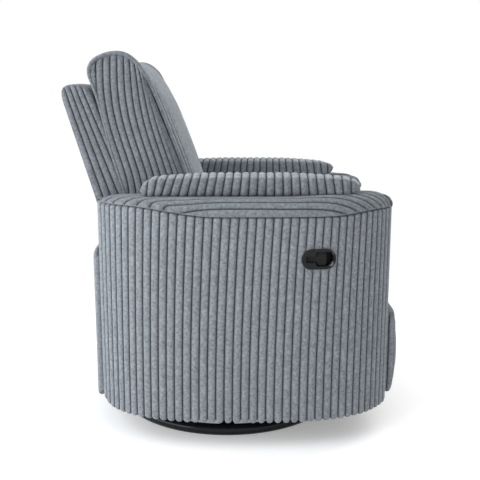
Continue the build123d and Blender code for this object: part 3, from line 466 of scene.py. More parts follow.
def wall_section(thickness, edge, rows):
    """Rows round an upright wall's section, from the outer face's top round the foot and up the inner face.
    Each has its offset from the outer face, its share of the height, its drop below the foot,
    the relief of its wales and its tuck at the seam. Also gives how many come before the foot's middle."""
    outer = []
    for share in np.concatenate([np.linspace(0.0, SEAM_FROM, rows), SEAM_ROWS])[::-1]:
        tuck = SEAM_TUCK * (1 - smooth(1 - share, 0, TUCK_SHARE)) ** 1.5
        outer.append((0.0, share, 0.0, smooth(1 - share, 0.0, FLAT_SHARE, least=0.5), tuck))
    for turn in np.linspace(0, math.pi / 2, 5)[1:]:
        outer.append((edge * (1 - math.cos(turn)), 0.0, -edge * math.sin(turn), 1.0, 0.0))
    inner = [
        (thickness - offset, share, drop, 0.0, -tuck) for offset, share, drop, _, tuck in reversed(outer)
    ]
    return np.array([*outer, (thickness / 2, 0.0, -edge, FOOT_RELIEF, 0.0), *inner]), len(outer)


def wall(path, thickness, low, high, lean=0.0, edge=0.009, rows=34, skip=None, corner=0.0):
    """Upright padded wall: wales run up its outer face, both ends and the lower edge are rounded.
    path is the outer face in plan with the outside on its left, high(x) the upper edge,
    lean how far the wales lean at the upper edge, edge how far the rounded foot reaches in,
    skip the function that leaves faces out, corner how far the lower edge climbs at the path's start."""
    cloth = Cloth()
    total = length_of(path)
    half = thickness / 2
    end = min(half, WALL_END)
    places, wales = wale_stops(total - 2 * end, settings().corduroy.pitch)
    places = places + end
    section, outer_rows = wall_section(thickness, edge, rows)
    offsets, shares, _, reliefs, _ = section.T
    inside = smooth(np.minimum(places, total - places), *TUCK_SPAN)
    base = low + edge + corner * np.clip(1 - places / CORNER_LENGTH, 0, 1) ** 2
    spread = np.clip(4 * (places / total) * (1 - places / total), 0, 1)
    grid = np.zeros((len(section), len(places), 3))
    for row, (offset, share, drop, _, tuck) in enumerate(section):
        line = resampled(path, np.clip(places - lean * share * share * spread, 0, total))
        line = line - path_normals(line) * (offset + tuck * inside)[:, None]
        scallop = SCALLOP * (1 - wale_height(wales)) * -drop / edge
        grid[row, :, :2] = line
        grid[row, :, 2] = base + (high(line[:, 0]) - base) * share + drop + scallop
    relief = reliefs[:, None] * smooth(np.minimum(wales, wales[-1] - wales), 0.0, END_WALE)
    # painted shade along the tucked seam under the upper edge
    crease_shade = (SEAM_SHADE * smooth(shares, *SHADE_SPAN))[:, None] * inside
    hole = None
    if skip is not None:
        middle = (grid + np.roll(grid, -1, axis=0)) / 2
        middle = (middle[:, :-1] + middle[:, 1:]) / 2
        hole, relief = skip(cloth, grid, middle, relief, outer_rows)
    cloth.grid(grid, wales, relief, wrap=True, skip=hole, crease_shade=crease_shade)
    # columns beyond both ends close the wall with a shallow round
    for column, beside, tip in ((0, 1, path[:2]), (-1, -2, path[-2:])):
        line = grid[:, column]
        run = line - grid[:, beside]
        run = run / np.linalg.norm(run, axis=1)[:, None]
        centre = line.copy()
        centre[:, :2] += path_normals(tip)[0] * (offsets - half)[:, None]
        columns = [
            centre + (line - centre) * math.cos(turn) + run * (end * math.sin(turn))
            for turn in np.linspace(0, math.pi / 2, 6)[1:]
        ]
        cloth.grid(np.stack([line, *columns], axis=1), wales[column], wrap=True)
    return cloth


def rounded(corners, steps=6):
    """Closed outline from corners (a, b, radius), each rounded as far as its sides have room."""
    places = [np.array(corner[:2]) for corner in corners]
    points = []
    for index, here in enumerate(places):
        ends = []
        for other in (places[index - 1], places[(index + 1) % len(places)]):
            length = np.linalg.norm(other - here)
            ends.append(here + (other - here) / length * min(corners[index][2], length * SIDE_ROOM))
        for t in np.linspace(0, 1, steps):
            points.append((1 - t) ** 2 * ends[0] + 2 * t * (1 - t) * here + t * t * ends[1])
    return np.array(points + [points[0]])


def closed_run(points):
    """Directions along a closed line, whose last point equals its first."""
    run = np.roll(points[:-1], -1, axis=0) - np.roll(points[:-1], 1, axis=0)
    return run / np.maximum(np.linalg.norm(run, axis=1), 1e-12)[:, None]


def outline_normals(points):
    """Outward normals of a closed outline that runs counter-clockwise, its last point equal to its first."""
    run = closed_run(points)
    normals = np.stack([run[:, 1], -run[:, 0]], axis=1)
    return np.concatenate([normals, normals[:1]])


def boxed(
    outline, half, crown, draw, bulge, rise=None, welt=None, warp=None, painted_light=(EVEN_PAINTED_LIGHT, EVEN_PAINTED_LIGHT), soft=None
):
    """Boxed cushion: a band round an outline in X and Z with wales along it, and two ribbed sides.
    crown(points) is how far the band's middle stands out, draw how far its edges are drawn in,
    bulge how far the sides stand out, rise(points, share) lifts points near the corners,
    welt(z) is the radius of the cord round the sides, warp a pair of functions from X and Z to the place
    across a side's wales and back, nap the painted light and shade on the sides and on the front,
    soft(x, z) how far the sides turn in towards the front."""
    across, back_to_x = warp or (lambda x, z: x, lambda u, z: u)
    soft = soft or (lambda x, z: np.zeros_like(x))
    cloth = Cloth()
    pitch = settings().corduroy.pitch
    total = length_of(outline)
    ring = resampled(outline, np.linspace(0, total, int(total / BAND_STEP) + 1))
    normals = outline_normals(ring)
    places, wales = wale_stops(2 * half, pitch)
    share = places / half - 1
    swell = crown(ring)[:, None] * (1 - share ** 2)[None, :] - draw * np.abs(share)[None, :] ** DRAW_POWER
    band = np.zeros((len(ring), len(places), 3))
    band[..., 0] = ring[:, :1] + normals[:, :1] * swell
    band[..., 2] = ring[:, 1:] + normals[:, 1:] * swell
    ends = band[:, 0]
    band[..., 1] = (places - half) * (1 - soft(ends[:, 0], ends[:, 2]) / half)[:, None]
    if rise is not None:
        band[..., 2] += rise(band, share)
    fade = smooth(1 - np.abs(share), 0.0, BAND_SHARE, least=EDGE_RELIEF)
    # painted light: the band gets lighter where it faces forward
    painted_tone = EVEN_PAINTED_LIGHT + (painted_light[1] - EVEN_PAINTED_LIGHT) * smooth(normals[:, :1], *FRONT_SPAN)
    cloth.grid(band, wales, fade[None, :], painted_light=painted_tone)
    for sign, column in ((-1, 0), (1, -1)):
        border = band[:, column]
        heights = border[:, 2]
        spread = np.stack([across(border[:, 0], heights), heights], axis=1)
        low, high = spread[:, 0].min(), spread[:, 0].max()
        side_places, side_wales = wale_stops(high - low, pitch)
        upper, lower = outline_spans(spread, side_places + low)
        levels = np.linspace(0, 1, max(8, int((upper - lower).max() / SIDE_STEP)))
        side = np.zeros((len(levels), len(side_places), 3))
        side[..., 2] = lower + (upper - lower) * levels[:, None]
        side[..., 0] = back_to_x(side_places + low, side[..., 2])
        turned = soft(side[..., 0], side[..., 2])
        depth = 2 * side_places / (high - low) - 1
        up = 2 * levels - 1
        full = (1 - depth ** 4)[None, :] * (1 - up ** 6)[:, None]
        side[..., 1] = sign * (half + bulge * full - turned)
        fade = smooth(1 - np.abs(up), 0, LEVEL_SHARE)[:, None]
        fade = fade * smooth(1 - np.abs(depth), 0, DEPTH_SHARE)[None, :]
        cloth.grid(side, side_wales, fade * (1 - TURNED_FADE * smooth(turned, *TURNED_SPAN)), painted_light=painted_light[0])
        if welt is not None:
            tube(cloth, border, welt(heights), painted_light=painted_light[0])
    return cloth


def outline_spans(edge, places):
    """Highest and lowest point of a closed outline above each place along its first axis."""
    upper, lower = np.full(len(places), -np.inf), np.full(len(places), np.inf)
    for (x0, z0), (x1, z1) in zip(edge[:-1], edge[1:]):
        inside = (places >= min(x0, x1) - 1e-7) & (places <= max(x0, x1) + 1e-7)
        upright = abs(x1 - x0) <= 1e-9
        share = np.zeros(len(places)) if upright else np.clip((places - x0) / (x1 - x0), 0, 1)
        z = z0 + (z1 - z0) * share
        upper = np.where(inside, np.maximum(upper, z), upper)
        lower = np.where(inside, np.minimum(lower, z), lower)
    return upper, lower


def tube(cloth, line, radius, painted_light, sides=8):
    """Closed ring of cord along a closed line, with no wales. radius holds one value for each point."""
    across = np.cross(closed_run(line), (0, 1, 0))
    grid = np.array([
        line[:-1] + radius[:-1, None] * (math.cos(turn) * across + math.sin(turn) * np.array([0, 1, 0]))
        for turn in np.linspace(0, 2 * math.pi, sides + 1)
    ])
    cloth.grid(np.concatenate([grid, grid[:, :1]], axis=1), painted_light=painted_light)


# Finishes


def new_material(name):
    """Makes a material, and gives it with its node tree and its Principled shader."""
    material = bpy.data.materials.new(name)
    material.use_nodes = True
    tree = material.node_tree
    return material, tree, tree.nodes["Principled BSDF"]


def set_inputs(node, values):
    """Sets constants on a node's sockets by name."""
    for name, value in values.items():
        node.inputs[name].default_value = value


def add_math(tree, operation, *values):
    """Adds a math node on sockets and numbers, and gives its output."""
    node = tree.nodes.new("ShaderNodeMath")
    node.operation = operation
    for socket, value in zip(node.inputs, values):
        if isinstance(value, bpy.types.NodeSocket):
            tree.links.new(value, socket)
        else:
            socket.default_value = value
    return node.outputs[0]


def add_attribute(tree, name):
    """Adds a node that reads a value of the cloth, and gives its output."""
    node = tree.nodes.new("ShaderNodeAttribute")
    node.attribute_name = name
    return node.outputs["Fac"]


def grain_group():
    """Fine uneven grain: a broad patchy part and a small fibrous part, as one value and one height."""
    name = "surface_grain"
    if name in bpy.data.node_groups:
        return bpy.data.node_groups[name]
    group = bpy.data.node_groups.new(name, "ShaderNodeTree")
    group.interface.new_socket(name="Vector", in_out="INPUT", socket_type="NodeSocketVector")
    for label, default in (("Broad scale", 20.0), ("Fine scale", 600.0), ("Broad share", 0.5)):
        socket = group.interface.new_socket(name=label, in_out="INPUT", socket_type="NodeSocketFloat")
        socket.default_value = default
    for label in ("Value", "Height"):
        group.interface.new_socket(name=label, in_out="OUTPUT", socket_type="NodeSocketFloat")
    nodes, links = group.nodes, group.links
    enter, leave = nodes.new("NodeGroupInput"), nodes.new("NodeGroupOutput")
    mix = nodes.new("ShaderNodeMix")
    for scale, detail, share in (("Broad scale", 4, "B"), ("Fine scale", 2, "A")):
        noise = nodes.new("ShaderNodeTexNoise")
        noise.inputs["Detail"].default_value = detail
        links.new(enter.outputs["Vector"], noise.inputs["Vector"])
        links.new(enter.outputs[scale], noise.inputs["Scale"])
        links.new(noise.outputs["Fac"], mix.inputs[share])
    links.new(enter.outputs["Broad share"], mix.inputs["Factor"])
    links.new(mix.outputs["Result"], leave.inputs["Value"])
    # the fine part, made last, is the height too
    links.new(noise.outputs["Fac"], leave.inputs["Height"])
    return group


def add_grain(tree, broad, fine, share):
    """Adds the grain at two scales, with the broad part's share of it."""
    coords = tree.nodes.new("ShaderNodeTexCoord")
    grain = tree.nodes.new("ShaderNodeGroup")
    grain.node_tree = grain_group()
    set_inputs(grain, {"Broad scale": broad, "Fine scale": fine, "Broad share": share})
    tree.links.new(coords.outputs["Object"], grain.inputs["Vector"])
    return grain


def colour_ramp(tree, value, low, high, low_at=0.3, high_at=0.7):
    """Adds a ramp between two colours, and gives its output."""
    ramp = tree.nodes.new("ShaderNodeValToRGB")
    for element, colour, place in zip(ramp.color_ramp.elements, (low, high), (low_at, high_at)):
        element.position = place
        element.color = (*colour, 1)
    tree.links.new(value, ramp.inputs["Fac"])
    return ramp.outputs["Color"]


def add_bump(tree, shader, height, strength, distance):
    """Roughens a shader's surface by a height."""
    bump = tree.nodes.new("ShaderNodeBump")
    set_inputs(bump, {"Strength": strength, "Distance": distance})
    tree.links.new(height, bump.inputs["Height"])
    tree.links.new(bump.outputs["Normal"], shader.inputs["Normal"])


def shade(colour, factor):
    """A colour made lighter or darker."""
    return tuple(min(1.0, c * factor) for c in colour)


def corduroy():
    """Wide-wale corduroy: pile that is patchy in tone, with painted light and shade laid on each face and
    painted shade between the wales.
    """
    name = "wide_wale_corduroy"
    if name in bpy.data.materials:
        return bpy.data.materials[name]
    colours = settings().corduroy
    material, tree, shader = new_material(name)
    grain = add_grain(tree, broad=150.0, fine=900.0, share=0.6)
    dark, light = shade(colours.rib, 0.66), shade(colours.rib, 1.32)
    fibre = colour_ramp(tree, grain.outputs["Value"], dark, light, low_at=0.36, high_at=0.64)
    patches = add_grain(tree, broad=22.0, fine=70.0, share=0.6)
    # random patches plus the painted light and shade of each face
    patches_and_painted_light = add_math(tree, "MULTIPLY_ADD", patches.outputs["Value"], 0.5, add_attribute(tree, "painted_light"))
    tone = tree.nodes.new("ShaderNodeHueSaturation")
    tree.links.new(add_math(tree, "ADD", patches_and_painted_light, 0.25), tone.inputs["Value"])
    tree.links.new(fibre, tone.inputs["Color"])
    # painted shade: the groove colour is mixed in at the grooves and tucked seams
    mix = tree.nodes.new("ShaderNodeMix")
    mix.data_type = "RGBA"
    tree.links.new(add_attribute(tree, "painted_shade"), mix.inputs["Factor"])
    tree.links.new(tone.outputs["Color"], mix.inputs["A"])
    mix.inputs["B"].default_value = (*colours.painted_shade, 1)
    tree.links.new(mix.outputs["Result"], shader.inputs["Base Color"])
    set_inputs(shader, {
        "Roughness": 0.95, "Specular IOR Level": 0.15,
        "Sheen Weight": 0.25, "Sheen Roughness": 0.45, "Sheen Tint": (0.80, 0.86, 0.92, 1),
    })
    add_bump(tree, shader, grain.outputs["Height"], strength=0.5, distance=0.0012)
    return material


def plain_finish(name, colour, roughness, metallic=0.0, specular=0.4, fine=500.0, spread=0.15, bump=0.15):
    """Finish of one colour with a fine grain. spread is how far the grain's colours part."""
    if name in bpy.data.materials:
        return bpy.data.materials[name]
    material, tree, shader = new_material(name)
    grain = add_grain(tree, broad=30.0, fine=fine, share=0.5)
    tone = colour_ramp(tree, grain.outputs["Value"], shade(colour, 1 - spread), shade(colour, 1 + spread))
    tree.links.new(tone, shader.inputs["Base Color"])
    set_inputs(shader, {"Roughness": roughness, "Metallic": metallic, "Specular IOR Level": specular})
    add_bump(tree, shader, grain.outputs["Height"], strength=bump, distance=0.0006)
    return material


def frame_wood():
    """Plywood and rails of the frame, with a grain along X."""
    name = "frame_timber"
    if name in bpy.data.materials:
        return bpy.data.materials[name]
    colour = settings().finish.wood
    material, tree, shader = new_material(name)
    coords = tree.nodes.new("ShaderNodeTexCoord")
    stretch = tree.nodes.new("ShaderNodeMapping")
    stretch.inputs["Scale"].default_value = (2.0, 30.0, 30.0)
    rings = tree.nodes.new("ShaderNodeTexNoise")
    set_inputs(rings, {"Scale": 3.0, "Detail": 6})
    tree.links.new(coords.outputs["Object"], stretch.inputs["Vector"])
    tree.links.new(stretch.outputs["Vector"], rings.inputs["Vector"])
    tone = colour_ramp(tree, rings.outputs["Fac"], shade(colour, 0.7), shade(colour, 1.15))
    tree.links.new(tone, shader.inputs["Base Color"])
    shader.inputs["Roughness"].default_value = 0.7
    add_bump(tree, shader, rings.outputs["Fac"], strength=0.2, distance=0.001)
    return material


# Operators


class RECLINER_OT_stage(bpy.types.Operator):
    """Sets up the floor, the light and the camera"""

    bl_idname = "recliner.stage"
    bl_label = "Stage"

    FLOOR_SIZE = 60.0
    # distances from the chair at which the floor starts and ends to fade out
    FADE_FROM, FADE_TO = 0.7, 1.7
    SENSOR_WIDTH = 36.0
    # name, place, aim, size, power and colour of each lamp
    LAMPS = (
        ("key_lamp", (-3.0, -1.4, 2.0), (0, 0, 0.4), 4.0, 150.0, (0.93, 0.97, 1.0)),
        ("front_lamp", (2.2, 2.0, 2.4), (0, 0, 0.6), 2.0, 62.0, (1.0, 0.98, 0.94)),
        ("top_lamp", (0.0, -1.2, 3.6), (0, 0, 0.4), 3.0, 20.0, (1.0, 1.0, 1.0)),
    )

    def white_out(self, tree, shader):
        """Lifts the floor to white where the camera sees it lit, and lets it fade out far from the chair."""
        nodes, links = tree.nodes, tree.links
        path = nodes.new("ShaderNodeLightPath")
        seen = add_math(tree, "MAXIMUM", path.outputs["Is Camera Ray"], path.outputs["Is Glossy Ray"])
        lift = nodes.new("ShaderNodeEmission")
        lift.inputs["Color"].default_value = (1, 1, 1, 1)
        links.new(add_math(tree, "MULTIPLY", seen, settings().stage.lift), lift.inputs["Strength"])
        added = nodes.new("ShaderNodeAddShader")
        links.new(shader.outputs[0], added.inputs[0])
        links.new(lift.outputs[0], added.inputs[1])
        coords = nodes.new("ShaderNodeTexCoord")
        far = nodes.new("ShaderNodeVectorMath")
        far.operation = "LENGTH"
        links.new(coords.outputs["Object"], far.inputs[0])
        fade = nodes.new("ShaderNodeMapRange")
        fade.interpolation_type = "SMOOTHSTEP"
        set_inputs(fade, {"From Min": self.FADE_FROM, "From Max": self.FADE_TO})
        links.new(far.outputs["Value"], fade.inputs["Value"])
        clear = nodes.new("ShaderNodeBsdfTransparent")
        mix = nodes.new("ShaderNodeMixShader")
        links.new(add_math(tree, "MULTIPLY", fade.outputs["Result"], seen), mix.inputs["Fac"])
        links.new(added.outputs[0], mix.inputs[1])
        links.new(clear.outputs[0], mix.inputs[2])
        links.new(mix.outputs[0], nodes["Material Output"].inputs["Surface"])

    def lay_floor(self, context):
        """Lays the pale floor."""
        bpy.ops.object.select_all(action="DESELECT")
        bpy.ops.mesh.primitive_plane_add(size=self.FLOOR_SIZE, location=(0, 0, 0))
        floor = context.active_object
        floor.name = "studio_floor"
        material, tree, shader = new_material("pale_floor")
        set_inputs(shader, {
            "Base Color": (0.93, 0.93, 0.935, 1), "Roughness": 0.9, "Specular IOR Level": 0.1,
        })
        self.white_out(tree, shader)
        floor.data.materials.append(material)

    def light_sky(self, scene):
        """Lights the chair from all round, with plain white where the background is seen."""
        world = bpy.data.worlds.new("studio")
        scene.world = world
        world.use_nodes = True
        tree = world.node_tree
        light = tree.nodes["Background"]
        set_inputs(light, {"Color": (0.97, 0.985, 1.0, 1), "Strength": settings().stage.sky})
        white = tree.nodes.new("ShaderNodeBackground")
        white.inputs["Color"].default_value = (1, 1, 1, 1)
        path = tree.nodes.new("ShaderNodeLightPath")
        mix = tree.nodes.new("ShaderNodeMixShader")
        seen = path.outputs["Is Camera Ray"]
        for kind in ("Is Glossy Ray", "Is Transmission Ray"):
            seen = add_math(tree, "MAXIMUM", seen, path.outputs[kind])
        tree.links.new(seen, mix.inputs["Fac"])
        tree.links.new(light.outputs[0], mix.inputs[1])
        tree.links.new(white.outputs[0], mix.inputs[2])
        tree.links.new(mix.outputs[0], tree.nodes["World Output"].inputs["Surface"])

    def hang_lamps(self, scene):
        """Adds the soft lamps."""
        for name, place, aim, size, power, colour in self.LAMPS:
            data = bpy.data.lights.new(name, "AREA")
            data.energy = power
            data.size = size
            data.color = colour
            lamp = bpy.data.objects.new(name, data)
            scene.collection.objects.link(lamp)
            lamp.location = place
            lamp.rotation_euler = (Vector(aim) - Vector(place)).to_track_quat("-Z", "Y").to_euler()

    def set_camera(self, scene):
        """Puts the camera where the photograph was taken from."""
        stage = settings().stage
        data = bpy.data.cameras.new("photo_camera")
        data.lens = stage.lens
        data.sensor_width = self.SENSOR_WIDTH
        camera = bpy.data.objects.new("photo_camera", data)
        camera.location = stage.eye
        camera.rotation_euler = (math.pi / 2 - stage.pitch, 0, 0)
        scene.collection.objects.link(camera)
        scene.camera = camera

    def execute(self, context):
        context.scene.view_settings.view_transform = "Standard"
        self.lay_floor(context)
        self.light_sky(context.scene)
        self.hang_lamps(context.scene)
        self.set_camera(context.scene)
        return {"FINISHED"}


class RECLINER_OT_hard_finishes(bpy.types.Operator):
    """Gives every solid of the frame its finish"""

    bl_idname = "recliner.hard_finishes"
    bl_label = "Hard finishes"

    ZINC = (0.55, 0.56, 0.57)
    NYLON = (0.75, 0.75, 0.72)

    def execute(self, context):
        finish = settings().finish
        looks = {
            "gloss_black": plain_finish(
                "gloss_black_paint", finish.ring, 0.1, specular=0.2, fine=60.0, bump=0.02
            ),
            "black_steel": plain_finish("black_steel_paint", finish.steel, 0.5, fine=900.0, bump=0.2),
            "zinc_steel": plain_finish("zinc_plated_steel", self.ZINC, 0.35, metallic=1.0, bump=0.1),
            "white_nylon": plain_finish("white_nylon", self.NYLON, 0.55),
            "latch_plastic": plain_finish(
                "moulded_black_plastic", finish.latch, 0.6, specular=0.22, fine=1400.0, spread=0.25, bump=0.5
            ),
            "frame_wood": frame_wood(),
            "corduroy": corduroy(),
        }
        slots = {row["node"]: row["material_slot"] for row in frame["record"]["subparts"]}
        for node, solid in frame["nodes"].items():
            solid.data.materials.clear()
            solid.data.materials.append(looks[slots[node]])
        return {"FINISHED"}


class RECLINER_OT_side_covers(bpy.types.Operator):
    """Makes the two barrel-shaped side covers, the right one with room for the latch"""

    bl_idname = "recliner.side_covers"
    bl_label = "Side covers"

    # how far the latch plate laps over the hole's edge, and the wales are flat inside and outside its outline
    LATCH_LAP, FLAT_INSIDE, FLAT_OUTSIDE = 0.0035, 0.001, 0.008
    # how far the foot climbs at the rear
    REAR_CLIMB = 0.018
    # rows up the outer face, and up the one with the hole
    ROWS, LATCH_ROWS = 34, 48

    def latch_room(self, cloth, grid, middle, relief, outer):
        """Leaves out the faces behind the latch plate, on both skins, and closes the hole's edge.
        middle holds the faces' middles, outer is how many rows the outer skin has."""
        low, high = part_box("latch_bezel")
        centre = (np.array(low) + np.array(high)) / 2
        radius = (high.z - low.z) / 2
        straight = (high.x - low.x) / 2 - radius
        rim = radius - self.LATCH_LAP

        def from_oval(points):
            """Distance in X and Z from the straight line along the oval's middle."""
            along = np.clip(np.abs(points[..., 0] - centre[0]) - straight, 0, None)
            return np.hypot(along, points[..., 2] - centre[2])

        flat = smooth(from_oval(grid), radius - self.FLAT_INSIDE, radius + self.FLAT_OUTSIDE, least=0.1)
        relief = relief * flat
        cut = from_oval(middle[:outer]) < rim
        # the inner skin's rows run the other way: row r of the outer skin faces row 2 * outer - r
        hole = np.zeros(middle.shape[:2], bool)
        hole[:outer] = cut
        hole[outer:2 * outer] = cut[::-1]
        cols = grid.shape[1]
        around = np.zeros((outer + 1, cols), int)
        for r, c in np.argwhere(cut):
            around[r:r + 2, c:c + 2] += 1
        for r, c in np.argwhere((around > 0) & (around < 4)):
            ahead = np.clip(grid[r, c, 0] - centre[0], -straight, straight) + centre[0]
            off = np.array([grid[r, c, 0] - ahead, grid[r, c, 2] - centre[2]])
            off *= rim / np.linalg.norm(off)
            for skin in (r, 2 * outer - r):
                grid[skin, c, 0], grid[skin, c, 2] = ahead + off[0], centre[2] + off[1]
        for r, c in np.argwhere(cut).tolist():
            for (r0, c0), (r1, c1), beyond in (
                ((r, c), (r, c + 1), (r - 1, c)), ((r + 1, c), (r + 1, c + 1), (r + 1, c)),
                ((r, c), (r + 1, c), (r, c - 1)), ((r, c + 1), (r + 1, c + 1), (r, c + 1)),
            ):
                if 0 <= beyond[0] < outer and 0 <= beyond[1] < cols - 1 and cut[beyond]:
                    continue
                cloth.faces.append((
                    r0 * cols + c0, r1 * cols + c1,
                    (2 * outer - r1) * cols + c1, (2 * outer - r0) * cols + c0,
                ))
        return hole, relief

    def execute(self, context):
        body = settings().body
        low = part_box("side_cover_left")[0].z
        path = barrel_path()[::-1]
        for side, flip in SIDES:
            cloth = wall(
                path, body.wall, low, seam_height, lean=-body.lean, corner=self.REAR_CLIMB,
                rows=self.LATCH_ROWS if flip else self.ROWS, skip=self.latch_room if flip else None,
            )
            dress(cloth.finish("barrel_cover_" + side, flip=flip), "chassis", "side_cover_" + side)
        return {"FINISHED"}


class RECLINER_OT_arm_tops(bpy.types.Operator):
    """Makes the crowned arm tops, their wales along the arm"""

    bl_idname = "recliner.arm_tops"
    bl_label = "Arm tops"

    # how far the crown is drawn in from the barrel's front, rear and side, and rises at the front
    FRONT_INSET, REAR_INSET, SIDE_INSET = 0.052, 0.072, 0.048
    FRONT_RISE, RISE_SPAN = 0.008, (0.12, 0.32)
    # inner edge: its radius, the share of its height that it may take, and how far it reaches below the seam
    CORNER, CORNER_SHARE, LIP = 0.012, 0.8, 0.004
    # least width of the crown, and its points' least gap to the inner edge's round
    LEAST_WIDTH, CORNER_GAP = 0.0005, 1e-4
    # rows behind and ahead of the barrel's middle, columns to a wale, and the end rows' gap to the tips
    REAR_ROWS, FRONT_ROWS, WALE_COLUMNS = 240, 60, 12
    END_GAP = 0.0004
    # lengths in which the relief grows from the seam and from the inner edge
    SEAM_FADE, INNER_FADE = 0.005, 0.01
    # how far from the seam the wales turn at the rear, how softly, and the places behind the swivel axis
    # between which the seam starts to turn them and the rows start to follow
    TURN, TURN_SOFTNESS = 0.030, 0.8
    TURN_SPAN, ROW_SPAN = (0.10, 0.26), (0.06, 0.16)
    # hem under the seam: how far it goes in and down, and its share of the way to the barrel's middle
    HEM_IN, HEM_DOWN, HEM_SHARE = 0.012, 0.001, 0.03

    def section(self, x, top, samples=160):
        """Points across the arm top at one place along it, from the inner lower edge over to the seam."""
        body = settings().body
        seam = seam_height(x)
        reach, inset = (0.0, self.FRONT_INSET) if x > body.forward else (body.rear, self.REAR_INSET)
        turns = np.linspace(math.pi / 2, 0, samples)
        draw = 1 - np.cos(turns)
        along = abs(x - body.forward) / (body.half_length + reach - inset * draw)
        width = body.half_width - self.SIDE_INSET * draw
        out = width * np.clip(1 - along ** body.squareness, 0, 1) ** (1 / body.squareness)
        height = seam + (top - seam) * np.sin(turns)
        keep = out > body.inner + self.LEAST_WIDTH
        start = height[keep][0] if keep.any() else seam
        low = min(seam, start) - self.LIP
        radius = min(self.CORNER, (start - low) * self.CORNER_SHARE)
        corner = [
            (body.inner + radius * (1 - math.cos(t)), start - radius * (1 - math.sin(t)))
            for t in np.linspace(0, math.pi / 2, 6)
        ]
        keep &= out > body.inner + radius + self.CORNER_GAP
        return np.concatenate([[(body.inner, low)], corner, np.stack([out[keep], height[keep]], axis=1)])

    def upholstery(self):
        """Cloth of the left arm top."""
        body = settings().body
        low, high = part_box("arm_top_left")
        swing = np.sin(np.concatenate([
            np.linspace(-math.pi / 2, 0, self.REAR_ROWS),
            np.linspace(0, math.pi / 2, self.FRONT_ROWS + 1)[1:],
        ]))
        reach = (high.x - low.x) / 2 * (1 + np.where(swing < 0, body.rear / body.half_length, 0.0))
        xs = body.forward + reach * swing
        xs[0] += self.END_GAP
        xs[-1] -= self.END_GAP
        sections = [self.section(x, high.z + self.FRONT_RISE * smooth(x, *self.RISE_SPAN)) for x in xs]
        lengths = [length_of(section) for section in sections]
        longest = max(lengths)
        widest = sections[int(np.argmax(lengths))]
        run = run_along(widest)
        count = round(longest / settings().corduroy.pitch)
        places = np.linspace(0, longest, self.WALE_COLUMNS * count + 1)
        seam = barrel_path()
        into = path_normals(seam)
        into *= -np.sign(into[:, 1].mean())
        grid = np.zeros((len(xs), len(places), 3))
        relief = np.zeros((len(xs), len(places)))
        wales = np.zeros((len(xs), len(places)))
        for row, (x, section, length) in enumerate(zip(xs, sections, lengths)):
            straight = np.minimum(places, length)
            grid[row, :, 0] = x
            grid[row, :, 1:] = resampled(section, straight)
            relief[row] = smooth(length - places, 0.0, self.SEAM_FADE) * smooth(places, 0.0, self.INNER_FADE)
            # towards the rear the wales turn over the edge, square to the seam
            gaps = np.linalg.norm(grid[row, :, None, :2] - seam[None], axis=2)
            foot, gap = gaps.argmin(axis=1), gaps.min(axis=1)
            turn = self.TURN * smooth(-seam[foot, 0], *self.TURN_SPAN)
            kept = (gap + turn + np.sqrt((gap - turn) ** 2 + (self.TURN_SOFTNESS * turn) ** 2)) / 2
            turned = np.interp(seam[foot, 1] + into[foot, 1] * kept, widest[:, 0], run)
            share = smooth(-x, *self.ROW_SPAN)
            wales[row] = (straight + (turned - straight) * share) * count / longest
        cloth = Cloth()
        # painted shade: the arm tops are darker
        cloth.grid(grid, wales, relief, painted_light=ARM_PAINTED_SHADE)
        # edge turned in at the seam, and the underside
        edge = grid[:, -1]
        hem = edge - (0, self.HEM_IN, self.HEM_DOWN)
        hem[:, 0] += (body.forward - hem[:, 0]) * self.HEM_SHARE
        cloth.grid(np.stack([edge, hem, grid[:, 0]], axis=1))
        for row in (0, -1):
            cloth.fan(grid[row])
        return cloth

    def execute(self, context):
        dress_both(self.upholstery(), "arm_top_cover_", "arm_top_", fill=0.7)
        return {"FINISHED"}


